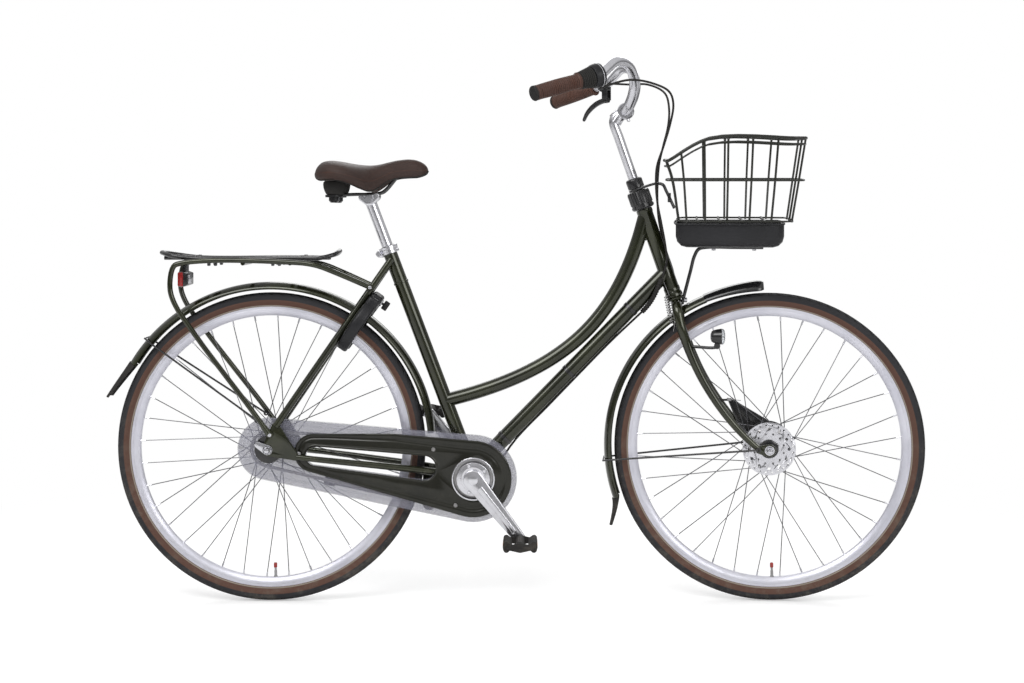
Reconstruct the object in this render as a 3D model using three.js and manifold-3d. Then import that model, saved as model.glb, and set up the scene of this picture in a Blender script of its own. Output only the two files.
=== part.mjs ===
// Dutch city bike, in millimetres. +X is forward, +Y is the rider's left, +Z is up.
// The origin lies on the ground under the crank axle, in the middle plane of the frame.
import * as THREE from 'three';
import { mergeVertices } from 'three/addons/utils/BufferGeometryUtils.js';
import Module from 'manifold-3d';

const wasm = await Module();
wasm.setup();

// Counts of sides, steps and teeth
const wheelSides = 44;
const roundSides = 10;
const smallSides = 8;
const wireSides = 4;
const spokeSides = 3;
const hullSides = 16;
const ringSides = 12;
const tubeSteps = 12;
const loopSteps = 26;
const spokeCount = 36;
const chainringTeeth = 38;
const sprocketTeeth = 19;
const coilCurls = 7;
const coilSteps = 8;
const coilSides = 5;

// Fit
const clearance = 0.3;
const overrun = 4;

// Frame
const wheelbase = 1136;
const rearCentre = 462.6;
const bracketHeight = 285;
const seatAngle = THREE.MathUtils.degToRad(69.3);
const headAngle = THREE.MathUtils.degToRad(70.7);
const steerAngle = THREE.MathUtils.degToRad(-5.5);
const headBottomForward = 455;
const headBottomHeight = 706;
const headTubeLength = 200;
const headTubeRadius = 17.5;
const headTubeWall = 2.5;
const seatTubeLength = 560;
const seatTubeRadius = 15.9;
const downTubeRadius = 17.5;
const downTubeRise = 14;
const downTubeJoin = 46;
const topTubeRadius = 16;
const topTubeJoin = 188;
const topTubeSeatJoin = 183;
const topTubeLean = THREE.MathUtils.degToRad(13.9);
const topTubeFrontHandle = 245;
const topTubeRearHandle = 292;
const gussetRadius = 6;
const gussetDrop = 64;
const bracketRadius = 21.5;
const bracketHalfWidth = 36.5;
const bracketBore = 17.3;
const chainstayRadius = 9;
const chainstayEndRadius = 6.5;
const chainstayStart = 20;
const chainstayRootSide = 24;
const chainstayBendBack = 110;
const chainstayBendSide = 37;
const chainstayBendRise = 16;
const chainstayEndGap = 64;
const chainstayFlatShare = 0.875;
const chainstayEndDrop = 16;
const seatstayRadius = 8;
const seatstayJoin = 530;
const seatstayRootSide = 19;
const seatstayEndForward = 18;
const seatstayEndRise = 53;
const rearSpacing = 130;
const dropoutThickness = 5;
const dropoutRadius = 20;
const dropoutSlot = 46;
const postTravelDown = 70;
const bridgeGap = 12;

// Wheels
const tyreRadius = 353;
const tyreHeight = 28;
const tyreInnerRadius = tyreRadius - tyreHeight;
const tyreWidth = 40;
const treadWidth = 10;
const rimDepth = 25;
const rimInnerRadius = tyreInnerRadius - rimDepth;
const rimWidth = 24;
const rimNoseWidth = 10;
const rimSlopeShare = 0.48;
const rimSideRadius = rimInnerRadius + rimDepth * rimSlopeShare;
const spokeRadius = 1.25;
const spokeStagger = 2.2;
const spokeRimSide = 3;
const spokeSweep = THREE.MathUtils.degToRad(64);
const flangeThickness = 3;
const rearFlangeRadius = 31;
const rearHubRadius = 22;
const rearHubRight = 27;
const rearHubLeft = 30;
const rearSpokeTurn = THREE.MathUtils.degToRad(7.6);
const frontFlangeRadius = 44;
const frontHubRadius = 36;
const frontHubRight = 32;
const frontHubLeft = 22;
const frontSpokeTurn = THREE.MathUtils.degToRad(5);
const frontSpacing = 104;
const axleRadius = 5;
const axleNutRadius = 10;
const axleNutLength = 12;
const spacerRadius = 9;

// Fork and headset
const steererRadius = 12.7;
const crownDrop = 25;
const bladeRadius = 12.5;
const bladeEndRadius = 7.5;
const bladeEndSide = 54.5;
const forkEndThickness = 5;
const forkEndRadius = 14;
const cupRadius = 20;
const collarRadius = 26;
const collarHeight = 44;
const collarGroove = 1.5;
const collarRibs = 3;
const lockCapRadius = 19;
const lockCapHeight = 30;

// Stem, handlebar and controls
const quillRadius = 11;
const quillRise = 419;
const quillInsert = 60;
const stemReach = 33;
const stemRise = 6;
const stemHeadRadius = 19;
const stemWidth = 40;
const barRadius = 11;
const barSweep = 183;
const barHalfWidth = 300;
const barHeight = 104;
const barStraight = 30;
const gripRadius = 16;
const longGripPlace = 46;
const gripEnd = 3;
const shifterPlace = 2;
const shifterLength = 26;
const shifterRadius = 24;
const twistLength = 32;
const twistRadius = 19;
const leverClampLength = 16;
const leverClampRadius = 17;
const leverClampPlace = 12;
const leverReach = 40;
const leverLength = 80;
const leverThickness = 9;
const leverPinRadius = 3;

// Chaincase
const caseInnerSide = 38;
const caseBracketHole = 19;
const caseDepth = 18;
const caseWall = 1.5;
const caseRearRadius = 70;
const caseFrontRadius = 98;
const coverThickness = 3;
const coverFrontRadius = 86;
const coverRearRadius = 43;
const coverRearForward = 102;
const coverTopForward = 280;
const coverDrop = 8;
const crankHoleRadius = 45;
const axleHoleRadius = 30;
const axleExitRadius = 13;
const stayWayBack = 52;
const stayWayRadius = 13;
const windowRearForward = 106;
const windowRearDrop = 15;
const windowRearRadius = 22;
const windowFrontBack = 112;
const windowFrontRise = 25;
const windowFrontRadius = 28;

// Drive
const chainSide = 47;
const chainPitch = 12.7;
const chainHalfHeight = 4.2;
const chainHalfWidth = 3.6;
const chainDepthShare = 0.5;
const toothHeight = 3.6;
const toothBaseShare = 0.3;
const sprocketThickness = 2;
const sprocketBoss = 14;
const spindleRadius = 8.5;
const crankLength = 170;
const crankAngle = THREE.MathUtils.degToRad(-51.4);
const crankInnerSide = 63;
const crankThickness = 12;
const crankBossRadius = 17;
const crankEyeRadius = 13;
const spiderRadius = 38;
const pedalLength = 92;
const pedalWidth = 77;
const pedalHeight = 26;
const pedalPinRadius = 6;
const pedalTubeRadius = 11;
const pedalTread = 22;
const pedalPlate = 4;
const pedalGap = 4;

// Mudguards
const guardGap = 23;
const guardRadius = tyreRadius + guardGap;
const guardDepth = 16;
const guardHalfWidth = 24.5;
const guardWall = 1.6;
const rearGuardStart = 5;
const rearGuardEnd = 149;
const frontGuardStart = 113;
const frontGuardEnd = 199;
const noseStart = 92;
const stayRadius = 2;
const rearStayAngle = 139;
const frontStayAngle = 185;
const stayFootBack = 24;
const stayFootRise = 67;
const flapThickness = 2.4;
const rearFlapEnd = 163;
const rearFlapSpread = 16;
const frontFlapEnd = 207;
const frontFlapSpread = 29;

// Carrier
const carrierTubeRadius = 6;
const carrierHalfWidth = 60;
const carrierTopHeight = 772;
const carrierBendHeight = 718;
const carrierRear = 690;
const carrierFront = 350;
const carrierBendRun = 30;
const carrierFootBack = 6;
const carrierFootRise = 35;
const carrierJoinHeight = 716;
const platformWireRadius = 5;
const platformHalfWidth = 44;
const platformRear = 714;
const platformFront = 307;
const platformHook = 16;
const clampLength = 24;
const clampHeight = 8;
const clampShares = [0.2, 0.8];
const carrierBarShares = [0, 0.5, 0.88];

// Basket
const basketFront = 747;
const basketRear = 440;
const basketTop = 1055;
const basketMiddle = 962;
const basketBottom = 871;
const basketRearTop = 1006;
const basketKink = 536;
const basketHalfWidth = 150;
const basketWire = 2.2;
const basketRim = 3.6;
const basketCorner = 26;
const trayTop = 862;
const trayHeight = 50;
const trayFront = 702;
const trayRear = 462;
const trayHalfWidth = 118;
const trayWall = 2.5;
const trayPadInset = 6;
const trayPadHeight = 1.5;
const basketSideWires = 5;
const basketEndWires = 3;
const basketBracketRadius = 3;
const basketBracketHalfGap = 34;
const basketBracketTop = 950;
const strutRadius = 4;
const strutPlace = 508;

// Stand
const standPivotBack = 105;
const standPivotDrop = 72;
const standPivotSide = 36;
const standLength = 249;
const standRise = 53;
const standFootRadius = 10;
const standFootLength = 26;
const standBracketRadius = 14;
const standBracketThickness = 10;
const standEyeRadius = 9;
const standEyeLength = 12;
const standTiltDegrees = 24;

// Lights
const lampRadius = 18;
const lampLength = 20;
const lampLens = 8;
const lampForward = 545;
const lampHeight = 610;
const lampSide = 68;
const lampArmRadius = 3.5;
const lampArmDrop = 130;
const lampArmShare = 0.86;
const tailHeight = 36;
const tailDepth = 14;
const tailHalfWidth = 40;
const tailBack = 650;
const tailUp = 735;

// Stabiliser
const springRadius = 7;
const springWire = 0.9;
const springCoilShare = 0.55;
const springAnchorRun = 20;
const springFootDrop = 84;
const springFootSide = 40;

// Cables
const cableRadius = 2.5;
const coverRadius = 6;
const coverStart = 18;
const coverLength = 84;
const coverRings = 12;

// Front roller brake
const brakeRadius = 59;
const brakeInner = 26;
const brakeOuter = 45;
const brakeArmReach = 66;
const brakeArmRise = 88;
const brakeArmRadius = 8;
const brakeArmThickness = 4;

// Saddle and post
const clampHalfWidth = 24;
const clampBodyRadius = 16;
const seatClampHeight = 18;
const seatClampWall = 5;
const seatBoltRadius = 5;
const clampCoreRadius = 8;
const tiltGap = 2;
const railRise = 13;
const saddleFootShare = 0.92;
const elastomerSeatShare = 0.93;
const elastomerHalfGap = 38;
const elastomerBack = 314;
const knobRadius = 12;
const knobHeight = 14;
const railFrontBack = 166;
const railBendBack = 205;
const postRadius = 12.7;
const postTop = 676;
const postInsert = 150;
const saddleBack = 358;
const saddleNose = 105;
const saddleHalfWidth = 118;
const saddleTopHeight = 998;
const saddleSkirt = 44;
const railRadius = 3.5;
const railHalfGap = 21;
const elastomerRadius = 27;

// Ring lock
const lockPlace = 345;
const lockOuterRadius = 78;
const lockInnerRadius = 54;
const lockThickness = 26;
const lockGap = 28;
const lockBoltRadius = 4;
const lockBoltPath = 66;
const lockBoltSpan = 90;
const lockCatch = 24;

const finishes = {
  paint: [0x2e3127, 0.28, 0.55],
  black: [0x151516, 0.5, 0],
  rubber: [0x1d1b1a, 0.85, 0],
  silver: [0xb9bcc0, 0.28, 0.9],
  steel: [0x8f9296, 0.35, 0.9],
  smoke: [0x8d8a94, 0.2, 0],
  leather: [0x4a2c1c, 0.6, 0],
  red: [0x8e1b1b, 0.25, 0],
  clear: [0xd8dde0, 0.1, 0],
  wire: [0x2a211c, 0.45, 0.3],
};

// Points and directions
const V = (x, y, z) => new THREE.Vector3(x, y, z);
const UP = V(0, 0, 1);
const LEFT = V(0, 1, 0);
const FORWARD = V(1, 0, 0);
const along = (start, direction, distance) => start.clone().addScaledVector(direction, distance);
const mix = (a, b, share) => a.clone().lerp(b, share);
const radians = (degrees) => THREE.MathUtils.degToRad(degrees);
const axleHeight = tyreRadius * Math.cos(Math.PI / wheelSides);
const bracket = V(0, 0, bracketHeight);
const rearAxle = V(-rearCentre, 0, axleHeight);
const frontAxle = V(wheelbase - rearCentre, 0, axleHeight);
const seatUp = V(-Math.cos(seatAngle), 0, Math.sin(seatAngle));
const headUp = V(-Math.cos(headAngle), 0, Math.sin(headAngle));
const headAhead = V(Math.sin(headAngle), 0, Math.cos(headAngle));
const headBottom = V(headBottomForward, 0, headBottomHeight);
const headTop = along(headBottom, headUp, headTubeLength);
const seatTop = along(bracket, seatUp, seatTubeLength);
const onWheel = (centre, degrees, radius, side = 0) =>
  V(centre.x + radius * Math.cos(radians(degrees)), side, centre.z + radius * Math.sin(radians(degrees)));

// Solids from geometries, and back
function solidFrom(points, faces) {
  const geometry = new THREE.BufferGeometry().setFromPoints(points);
  geometry.setIndex(faces);
  return toSolid(geometry);
}

function toSolid(source) {
  const plain = source.clone();
  plain.deleteAttribute('normal');
  plain.deleteAttribute('uv');
  const merged = mergeVertices(plain, clearance / 1000);
  const place = merged.attributes.position.array;
  const corners = merged.index.array;
  const kept = [];
  let volume = 0;
  const [a, b, c] = [V(0, 0, 0), V(0, 0, 0), V(0, 0, 0)];
  for (let i = 0; i < corners.length; i += 3) {
    const [p, q, r] = [corners[i], corners[i + 1], corners[i + 2]];
    if (p === q || q === r || r === p) continue;
    kept.push(p, q, r);
    a.fromArray(place, p * 3);
    b.fromArray(place, q * 3);
    c.fromArray(place, r * 3);
    volume += a.dot(b.cross(c));
  }
  if (volume < 0) kept.reverse();
  const vertProperties = new Float32Array(place);
  const triVerts = new Uint32Array(kept);
  return new wasm.Manifold(new wasm.Mesh({ numProp: 3, vertProperties, triVerts }));
}

function toGeometry(solid) {
  const mesh = solid.getMesh();
  const geometry = new THREE.BufferGeometry();
  geometry.setAttribute('position', new THREE.BufferAttribute(mesh.vertProperties, 3));
  geometry.setIndex(new THREE.BufferAttribute(mesh.triVerts, 1));
  return geometry;
}

// The radius of a many-sided hole that clears a round pin
const boreOf = (radius, sides = smallSides) => (radius + clearance) / Math.cos(Math.PI / sides);

// The bore of a pin that is drawn along the same line and with the same number of sides
const snugOf = (radius, sides = smallSides) => radius + clearance / Math.cos(Math.PI / sides);

const join = (...solids) => solids.flat().reduce((whole, next) => whole.add(next));
const cut = (solid, ...tools) => tools.flat().reduce((rest, tool) => rest.subtract(tool), solid);

// A straight rod or cone between two points
function rod(start, end, radius, sides = smallSides, endRadius = radius) {
  const length = start.distanceTo(end);
  const geometry = new THREE.CylinderGeometry(endRadius, radius, length, sides);
  const direction = end.clone().sub(start).normalize();
  geometry.applyQuaternion(new THREE.Quaternion().setFromUnitVectors(LEFT, direction));
  const middle = mix(start, end, 1 / 2);
  geometry.translate(middle.x, middle.y, middle.z);
  return toSolid(geometry);
}

// A body turned about the line through centre, from rows of radius and place along the line
function turned(centre, direction, rows, sides = roundSides) {
  const profile = rows.map(([radius, place]) => new THREE.Vector2(radius, place));
  if (profile[0].x > 0) profile.push(profile[0].clone());
  const geometry = new THREE.LatheGeometry(profile, sides);
  geometry.rotateY(Math.PI / sides);
  geometry.applyQuaternion(new THREE.Quaternion().setFromUnitVectors(LEFT, direction));
  geometry.translate(centre.x, centre.y, centre.z);
  return toSolid(geometry);
}

// A tube of one thickness along a curve
function tube(curve, radius, sides, steps) {
  const section = new THREE.Shape();
  for (let i = 0; i < sides; i += 1) {
    const angle = (i * 2 * Math.PI) / sides;
    const place = [radius * Math.cos(angle), radius * Math.sin(angle)];
    if (i === 0) section.moveTo(...place);
    else section.lineTo(...place);
  }
  section.closePath();
  return toSolid(new THREE.ExtrudeGeometry(section, { steps, curveSegments: 1, extrudePath: curve }));
}

const smooth = (points, closed = false) => new THREE.CatmullRomCurve3(points, closed, 'centripetal');

// A closed body through rings of points that all have the same count
function loft(rings, endFaces) {
  const count = rings[0].length;
  const faces = [];
  for (let row = 0; row < rings.length - 1; row += 1) {
    for (let i = 0; i < count; i += 1) {
      const next = (i + 1) % count;
      const low = row * count;
      const high = low + count;
      faces.push(low + i, low + next, high + next, low + i, high + next, high + i);
    }
  }
  const last = (rings.length - 1) * count;
  const fan = endFaces ?? Array.from({ length: count - 2 }, (_, i) => [0, i + 1, i + 2]);
  for (const corners of fan) {
    const [p, q, r] = [...corners].sort((m, n) => m - n);
    faces.push(p, r, q, last + p, last + q, last + r);
  }
  return solidFrom(rings.flat(), faces);
}

// A round tube along a curve whose radius changes evenly from start to end
function taperedTube(curve, radius, endRadius, sides, steps) {
  const frames = curve.computeFrenetFrames(steps, false);
  const rings = [];
  for (let step = 0; step <= steps; step += 1) {
    const share = step / steps;
    const centre = curve.getPointAt(share);
    const size = THREE.MathUtils.lerp(radius, endRadius, share);
    rings.push(Array.from({ length: sides }, (_, i) => {
      const angle = (i * 2 * Math.PI) / sides;
      const point = along(centre, frames.normals[step], size * Math.cos(angle));
      return along(point, frames.binormals[step], size * Math.sin(angle));
    }));
  }
  return loft(rings);
}

// The outline round a few circles in the plane of the frame, given as [x, z, radius]
function hullOutline(circles, sides = hullSides) {
  const dots = [];
  for (const [x, z, radius] of circles) {
    for (let i = 0; i < sides; i += 1) {
      const angle = ((i + 1 / 2) * 2 * Math.PI) / sides;
      dots.push([x + radius * Math.cos(angle), z + radius * Math.sin(angle)]);
    }
  }
  dots.sort((p, q) => p[0] - q[0] || p[1] - q[1]);
  const turn = (o, p, q) => (p[0] - o[0]) * (q[1] - o[1]) - (p[1] - o[1]) * (q[0] - o[0]);
  const chainOf = (list) => {
    const row = [];
    for (const dot of list) {
      while (row.length > 1 && turn(row.at(-2), row.at(-1), dot) <= 0) row.pop();
      row.push(dot);
    }
    row.pop();
    return row;
  };
  return [...chainOf(dots), ...chainOf([...dots].reverse())];
}

// A plate in the plane of the frame between two sides, from its outline in x and z
function plate(outline, sideA, sideB) {
  const shape = new THREE.Shape(outline.map(([x, z]) => new THREE.Vector2(x, z)));
  const depth = Math.abs(sideB - sideA);
  const geometry = new THREE.ExtrudeGeometry(shape, { depth, bevelEnabled: false });
  geometry.rotateX(Math.PI / 2);
  geometry.translate(0, Math.max(sideA, sideB), 0);
  return toSolid(geometry);
}

const hullPlate = (circles, sideA, sideB, sides) => plate(hullOutline(circles, sides), sideA, sideB);

// A section of [radius, side] points swept about a wheel's axle between two angles
function sweepArc(section, centre, startDegrees, endDegrees, steps) {
  const flat = section.map(([radius, side]) => new THREE.Vector2(radius, side));
  const rings = [];
  for (let step = 0; step <= steps; step += 1) {
    const degrees = THREE.MathUtils.lerp(startDegrees, endDegrees, step / steps);
    rings.push(section.map(([radius, side]) => onWheel(centre, degrees, radius, side)));
  }
  return loft(rings, THREE.ShapeUtils.triangulateShape(flat, []));
}

function block(centre, size, turnAbout = LEFT, turnBy = 0) {
  const geometry = new THREE.BoxGeometry(size.x, size.y, size.z);
  geometry.applyQuaternion(new THREE.Quaternion().setFromAxisAngle(turnAbout, turnBy));
  geometry.translate(centre.x, centre.y, centre.z);
  return toSolid(geometry);
}

// The whole bike, and the group that turns about the steering axis
const bike = new THREE.Group();
const steering = new THREE.Group();
const steeringInner = new THREE.Group();
steering.position.copy(headBottom);
steering.quaternion.setFromAxisAngle(headUp, steerAngle);
steeringInner.position.copy(headBottom).negate();
steering.add(steeringInner);
bike.add(steering);
const steered = (point) => point.clone().sub(headBottom).applyAxisAngle(headUp, steerAngle).add(headBottom);

function place(name, solid, finish, group = bike) {
  const [color, roughness, metalness] = finishes[finish];
  const material = new THREE.MeshStandardMaterial({ color, roughness, metalness });
  const mesh = new THREE.Mesh(toGeometry(solid), material);
  mesh.name = name;
  group.add(mesh);
}

// Frame
const dropoutMiddle = (rearSpacing + dropoutThickness) / 2;
const seatstayTop = along(bracket, seatUp, seatstayJoin);
const seatstayEnd = along(along(rearAxle, FORWARD, seatstayEndForward), UP, seatstayEndRise);
const seatstayUp = seatstayTop.clone().sub(seatstayEnd).normalize();
const chainstayEnd = along(along(rearAxle, FORWARD, chainstayEndGap), UP, -chainstayEndDrop);

// The point between the seat stays that lies a given distance from the rear axle
function betweenSeatstays(distance) {
  const arm = seatstayEnd.clone().sub(rearAxle);
  const lean = arm.dot(seatstayUp);
  const rise = Math.sqrt(lean * lean + distance * distance - arm.lengthSq()) - lean;
  return along(seatstayEnd, seatstayUp, rise);
}

function seatstaySide(point) {
  const share = point.clone().sub(seatstayEnd).dot(seatstayUp) / seatstayTop.distanceTo(seatstayEnd);
  return THREE.MathUtils.lerp(dropoutMiddle, seatstayRootSide, share);
}

function topTubeCurve() {
  const headJoin = along(headBottom, headUp, topTubeJoin);
  const seatJoin = along(bracket, seatUp, topTubeSeatJoin);
  const down = V(-Math.sin(topTubeLean), 0, -Math.cos(topTubeLean));
  const ahead = V(Math.cos(topTubeLean), 0, Math.sin(topTubeLean));
  const headHandle = along(headJoin, down, topTubeFrontHandle);
  return new THREE.CubicBezierCurve3(headJoin, headHandle, along(seatJoin, ahead, topTubeRearHandle),
    seatJoin);
}

function rearTriangle(side) {
  const outward = LEFT.clone().multiplyScalar(side);
  const middle = along(chainstayEnd, outward, dropoutMiddle);
  const bend = V(-chainstayBendBack, side * chainstayBendSide, bracketHeight + chainstayBendRise);
  const root = V(-chainstayStart, side * chainstayRootSide, bracketHeight);
  const near = mix(bend, middle, chainstayFlatShare).setY(side * (dropoutMiddle - dropoutThickness / 5));
  const chainstay = taperedTube(smooth([root, bend, near, middle]), chainstayRadius, chainstayEndRadius,
    smallSides, hullSides / 2);
  const seatstay = rod(along(seatstayEnd, outward, dropoutMiddle),
    along(seatstayTop, outward, seatstayRootSide),
    seatstayRadius, smallSides);
  const inner = side * rearSpacing / 2;
  const dropout = hullPlate([
    [rearAxle.x, rearAxle.z, dropoutRadius],
    [chainstayEnd.x, chainstayEnd.z, chainstayEndRadius],
    [seatstayEnd.x, seatstayEnd.z, seatstayRadius],
  ], inner, inner + side * dropoutThickness, roundSides);
  const slot = hullPlate([
    [rearAxle.x, rearAxle.z, boreOf(axleRadius)],
    [rearAxle.x - dropoutSlot, rearAxle.z, boreOf(axleRadius)],
  ], inner - side * overrun, inner + side * (dropoutThickness + overrun), roundSides);
  return join(chainstay, seatstay, cut(dropout, slot));
}

// A plate under the left chainstay that carries the stand's pivot
const standPivot = V(-standPivotBack, standPivotSide, bracketHeight - standPivotDrop);

function standBracket() {
  const half = standBracketThickness / 2;
  const top = bracketHeight + chainstayBendRise - standBracketRadius;
  return hullPlate([[standPivot.x, standPivot.z, standBracketRadius],
    [standPivot.x, top, standBracketRadius]],
    standPivotSide - half, standPivotSide + half, roundSides);
}

function buildFrame() {
  const headTube = rod(headBottom, headTop, headTubeRadius, hullSides);
  const seatTube = rod(bracket, seatTop, seatTubeRadius, roundSides);
  const downTube = rod(along(bracket, UP, downTubeRise), along(headBottom, headUp, downTubeJoin),
    downTubeRadius, roundSides);
  const topTube = tube(topTubeCurve(), topTubeRadius, roundSides, tubeSteps);
  const gusset = along(headTop, headUp, -gussetDrop);
  const gussetEnd = along(gusset, headAhead, -(headTubeRadius + topTubeRadius));
  const shell = rod(along(bracket, LEFT, -bracketHalfWidth), along(bracket, LEFT, bracketHalfWidth),
    bracketRadius, hullSides);
  const bridge = betweenSeatstays(guardRadius + bridgeGap);
  const bridgeSide = seatstaySide(bridge);
  const whole = join(headTube, seatTube, downTube, topTube, shell, rod(gusset, gussetEnd, gussetRadius),
    rearTriangle(1), rearTriangle(-1),
    rod(along(bridge, LEFT, -bridgeSide), along(bridge, LEFT, bridgeSide), gussetRadius));
  const headBore = rod(along(headBottom, headUp, -overrun), along(headTop, headUp, overrun),
    headTubeRadius - headTubeWall, hullSides);
  const bracketWay = rod(along(bracket, LEFT, -bracketHalfWidth - overrun),
    along(bracket, LEFT, bracketHalfWidth + overrun),
    bracketBore, hullSides);
  const postWay = rod(along(seatTop, seatUp, -postInsert - postTravelDown - overrun),
    along(seatTop, seatUp, overrun),
    boreOf(postRadius, roundSides), roundSides);
  const inner = boreOf(steererRadius, roundSides);
  const cupBottom = crownDrop - bladeRadius - clearance;
  const lowerCup = turned(headBottom, headUp, [
    [inner, -cupBottom], [cupRadius, -cupBottom], [cupRadius, -cupBottom / 2], [headTubeRadius, clearance],
    [inner, clearance],
  ]);
  place('frame', join(cut(whole, headBore, bracketWay, postWay), lowerCup, standBracket()), 'paint');
}

// Headset
function buildHeadset() {
  const inner = boreOf(steererRadius, roundSides);
  const rows = [[inner, clearance]];
  const ribHeight = (collarHeight - clearance) / collarRibs;
  for (let rib = 0; rib < collarRibs; rib += 1) {
    const foot = clearance + rib * ribHeight;
    rows.push([collarRadius, foot], [collarRadius, foot + ribHeight * 2 / 3]);
    rows.push([collarRadius - collarGroove, foot + ribHeight * 2 / 3]);
    rows.push([collarRadius - collarGroove, foot + ribHeight]);
  }
  rows.push([inner, collarHeight]);
  place('headset_collar', turned(headTop, headUp, rows), 'black');
  const capFoot = collarHeight + basketBracketRadius * 2 + clearance * 2;
  const capTop = collarHeight + lockCapHeight;
  place('headset_cap', turned(headTop, headUp, [
    [inner, capFoot], [lockCapRadius, capFoot], [lockCapRadius, capTop - overrun],
    [lockCapRadius - overrun, capTop], [inner, capTop],
  ]), 'black', steeringInner);
}

// Fork, in the straight-ahead position
const forkDrop = headBottom.clone().sub(frontAxle).dot(headUp);
const forkRake = frontAxle.clone().sub(headBottom).dot(headAhead);
const bladeShares = [
  [0.062, 0, 0.3], [0.08, -0.01, 0.62], [0.143, -0.06, 0.84], [0.313, -0.083, 0.89],
  [0.523, 0.008, 0.95], [0.746, 0.267, 0.99], [0.914, 0.59, 1], [0.975, 0.74, 1],
];
const onFork = (dropShare, rakeShare, side) =>
  along(along(headBottom, headUp, -forkDrop * dropShare), headAhead, forkRake * rakeShare).setY(side);
const steererTop = along(headTop, headUp, collarHeight + lockCapHeight - overrun);

function forkSide(side) {
  const points = [along(headBottom, headUp, -crownDrop)];
  for (const [drop, rake, out] of bladeShares) points.push(onFork(drop, rake, side * out * bladeEndSide));
  const tip = points.at(-1);
  const blade = taperedTube(smooth(points), bladeRadius, bladeEndRadius, smallSides, tubeSteps);
  const inner = side * frontSpacing / 2;
  const forkEnd = hullPlate([
    [frontAxle.x, frontAxle.z, forkEndRadius], [tip.x, tip.z, bladeEndRadius + overrun / 2],
  ], inner, inner + side * forkEndThickness, roundSides);
  const hole = rod(along(frontAxle, LEFT, inner - side * overrun),
    along(frontAxle, LEFT, inner + side * (forkEndThickness + overrun)),
    boreOf(axleRadius));
  return join(blade, cut(forkEnd, hole));
}

function buildFork() {
  const steerer = rod(along(headBottom, headUp, -crownDrop), steererTop, steererRadius, roundSides);
  const quillWay = rod(along(steererTop, headUp, -quillInsert - overrun),
    along(steererTop, headUp, overrun),
    boreOf(quillRadius, roundSides), roundSides);
  place('fork', cut(join(steerer, forkSide(1), forkSide(-1)), quillWay), 'paint', steeringInner);
}

// Wheels
function tyreSolid(centre) {
  const wall = tyreWidth / 2;
  const height = tyreRadius - tyreInnerRadius;
  const bead = rimWidth / 2 - overrun / 4;
  const shoulder = tyreRadius - height / 5;
  return turned(centre, LEFT, [
    [tyreInnerRadius, -bead], [tyreInnerRadius + height / 3, -wall], [shoulder, -wall * 2 / 3],
    [tyreRadius, -treadWidth / 2],
    [tyreRadius, treadWidth / 2], [shoulder, wall * 2 / 3], [tyreInnerRadius + height / 3, wall],
    [tyreInnerRadius, bead],
  ], wheelSides);
}

function rimSolid(centre) {
  const outer = tyreInnerRadius - clearance;
  return turned(centre, LEFT, [
    [rimInnerRadius, -rimNoseWidth / 2], [rimSideRadius, -rimWidth / 2], [outer, -rimWidth / 2],
    [outer, rimWidth / 2], [rimSideRadius, rimWidth / 2], [rimInnerRadius, rimNoseWidth / 2],
  ], wheelSides);
}

// A hub with two flanges, and the crossed spokes that leave them for the rim
function hubSolid(centre, hubRadius, flangeRadius, right, left, rightEnd, leftEnd, turn) {
  const half = flangeThickness / 2;
  const bore = boreOf(axleRadius, ringSides);
  const neck = hubRadius * 3 / 5;
  const body = turned(centre, LEFT, [
    [bore, -rightEnd], [neck, -rightEnd], [neck, -right - half], [flangeRadius, -right - half],
    [flangeRadius, -right + half],
    [hubRadius, -right + half * 3], [hubRadius, left - half * 3], [flangeRadius, left - half],
    [flangeRadius, left + half],
    [neck, left + half], [neck, leftEnd], [bore, leftEnd],
  ], ringSides);
  const spokes = [];
  for (let spoke = 0; spoke < spokeCount; spoke += 1) {
    const side = spoke % 2 === 0 ? 1 : -1;
    const lead = Math.floor(spoke / 2) % 2 === 0 ? 1 : -1;
    const rimDegrees = THREE.MathUtils.radToDeg(turn) + (spoke * 360) / spokeCount;
    const hubDegrees = rimDegrees + lead * THREE.MathUtils.radToDeg(spokeSweep);
    const flange = side > 0 ? left : -right;
    const head = onWheel(centre, hubDegrees, flangeRadius - flangeThickness, flange + lead * spokeStagger);
    const nipple = onWheel(centre, rimDegrees, rimInnerRadius * Math.cos(Math.PI / wheelSides) - clearance,
      side * spokeRimSide);
    spokes.push(rod(head, nipple, spokeRadius, spokeSides));
  }
  return join(body, spokes);
}

const rearHubEnd = rearHubRight + flangeThickness * 2;
const rearHubEndLeft = rearHubLeft + flangeThickness * 2;
const frontHubEnd = frontHubRight + flangeThickness;
const frontHubEndLeft = frontHubLeft + flangeThickness;

function axleSolid(centre, inner, thickness, rightFrom, leftFrom) {
  const reach = inner + thickness + clearance + axleNutLength;
  const ends = [[-1, rightFrom], [1, leftFrom]].flatMap(([side, from]) => [
    rod(along(centre, LEFT, side * from), along(centre, LEFT, side * (inner - clearance)), spacerRadius),
    rod(along(centre, LEFT, side * (reach - axleNutLength)), along(centre, LEFT, side * reach),
    axleNutRadius, smallSides - 2,
      axleNutRadius),
  ]);
  const pin = rod(along(centre, LEFT, -reach - overrun), along(centre, LEFT, reach + overrun), axleRadius);
  return join(pin, ends);
}

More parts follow.
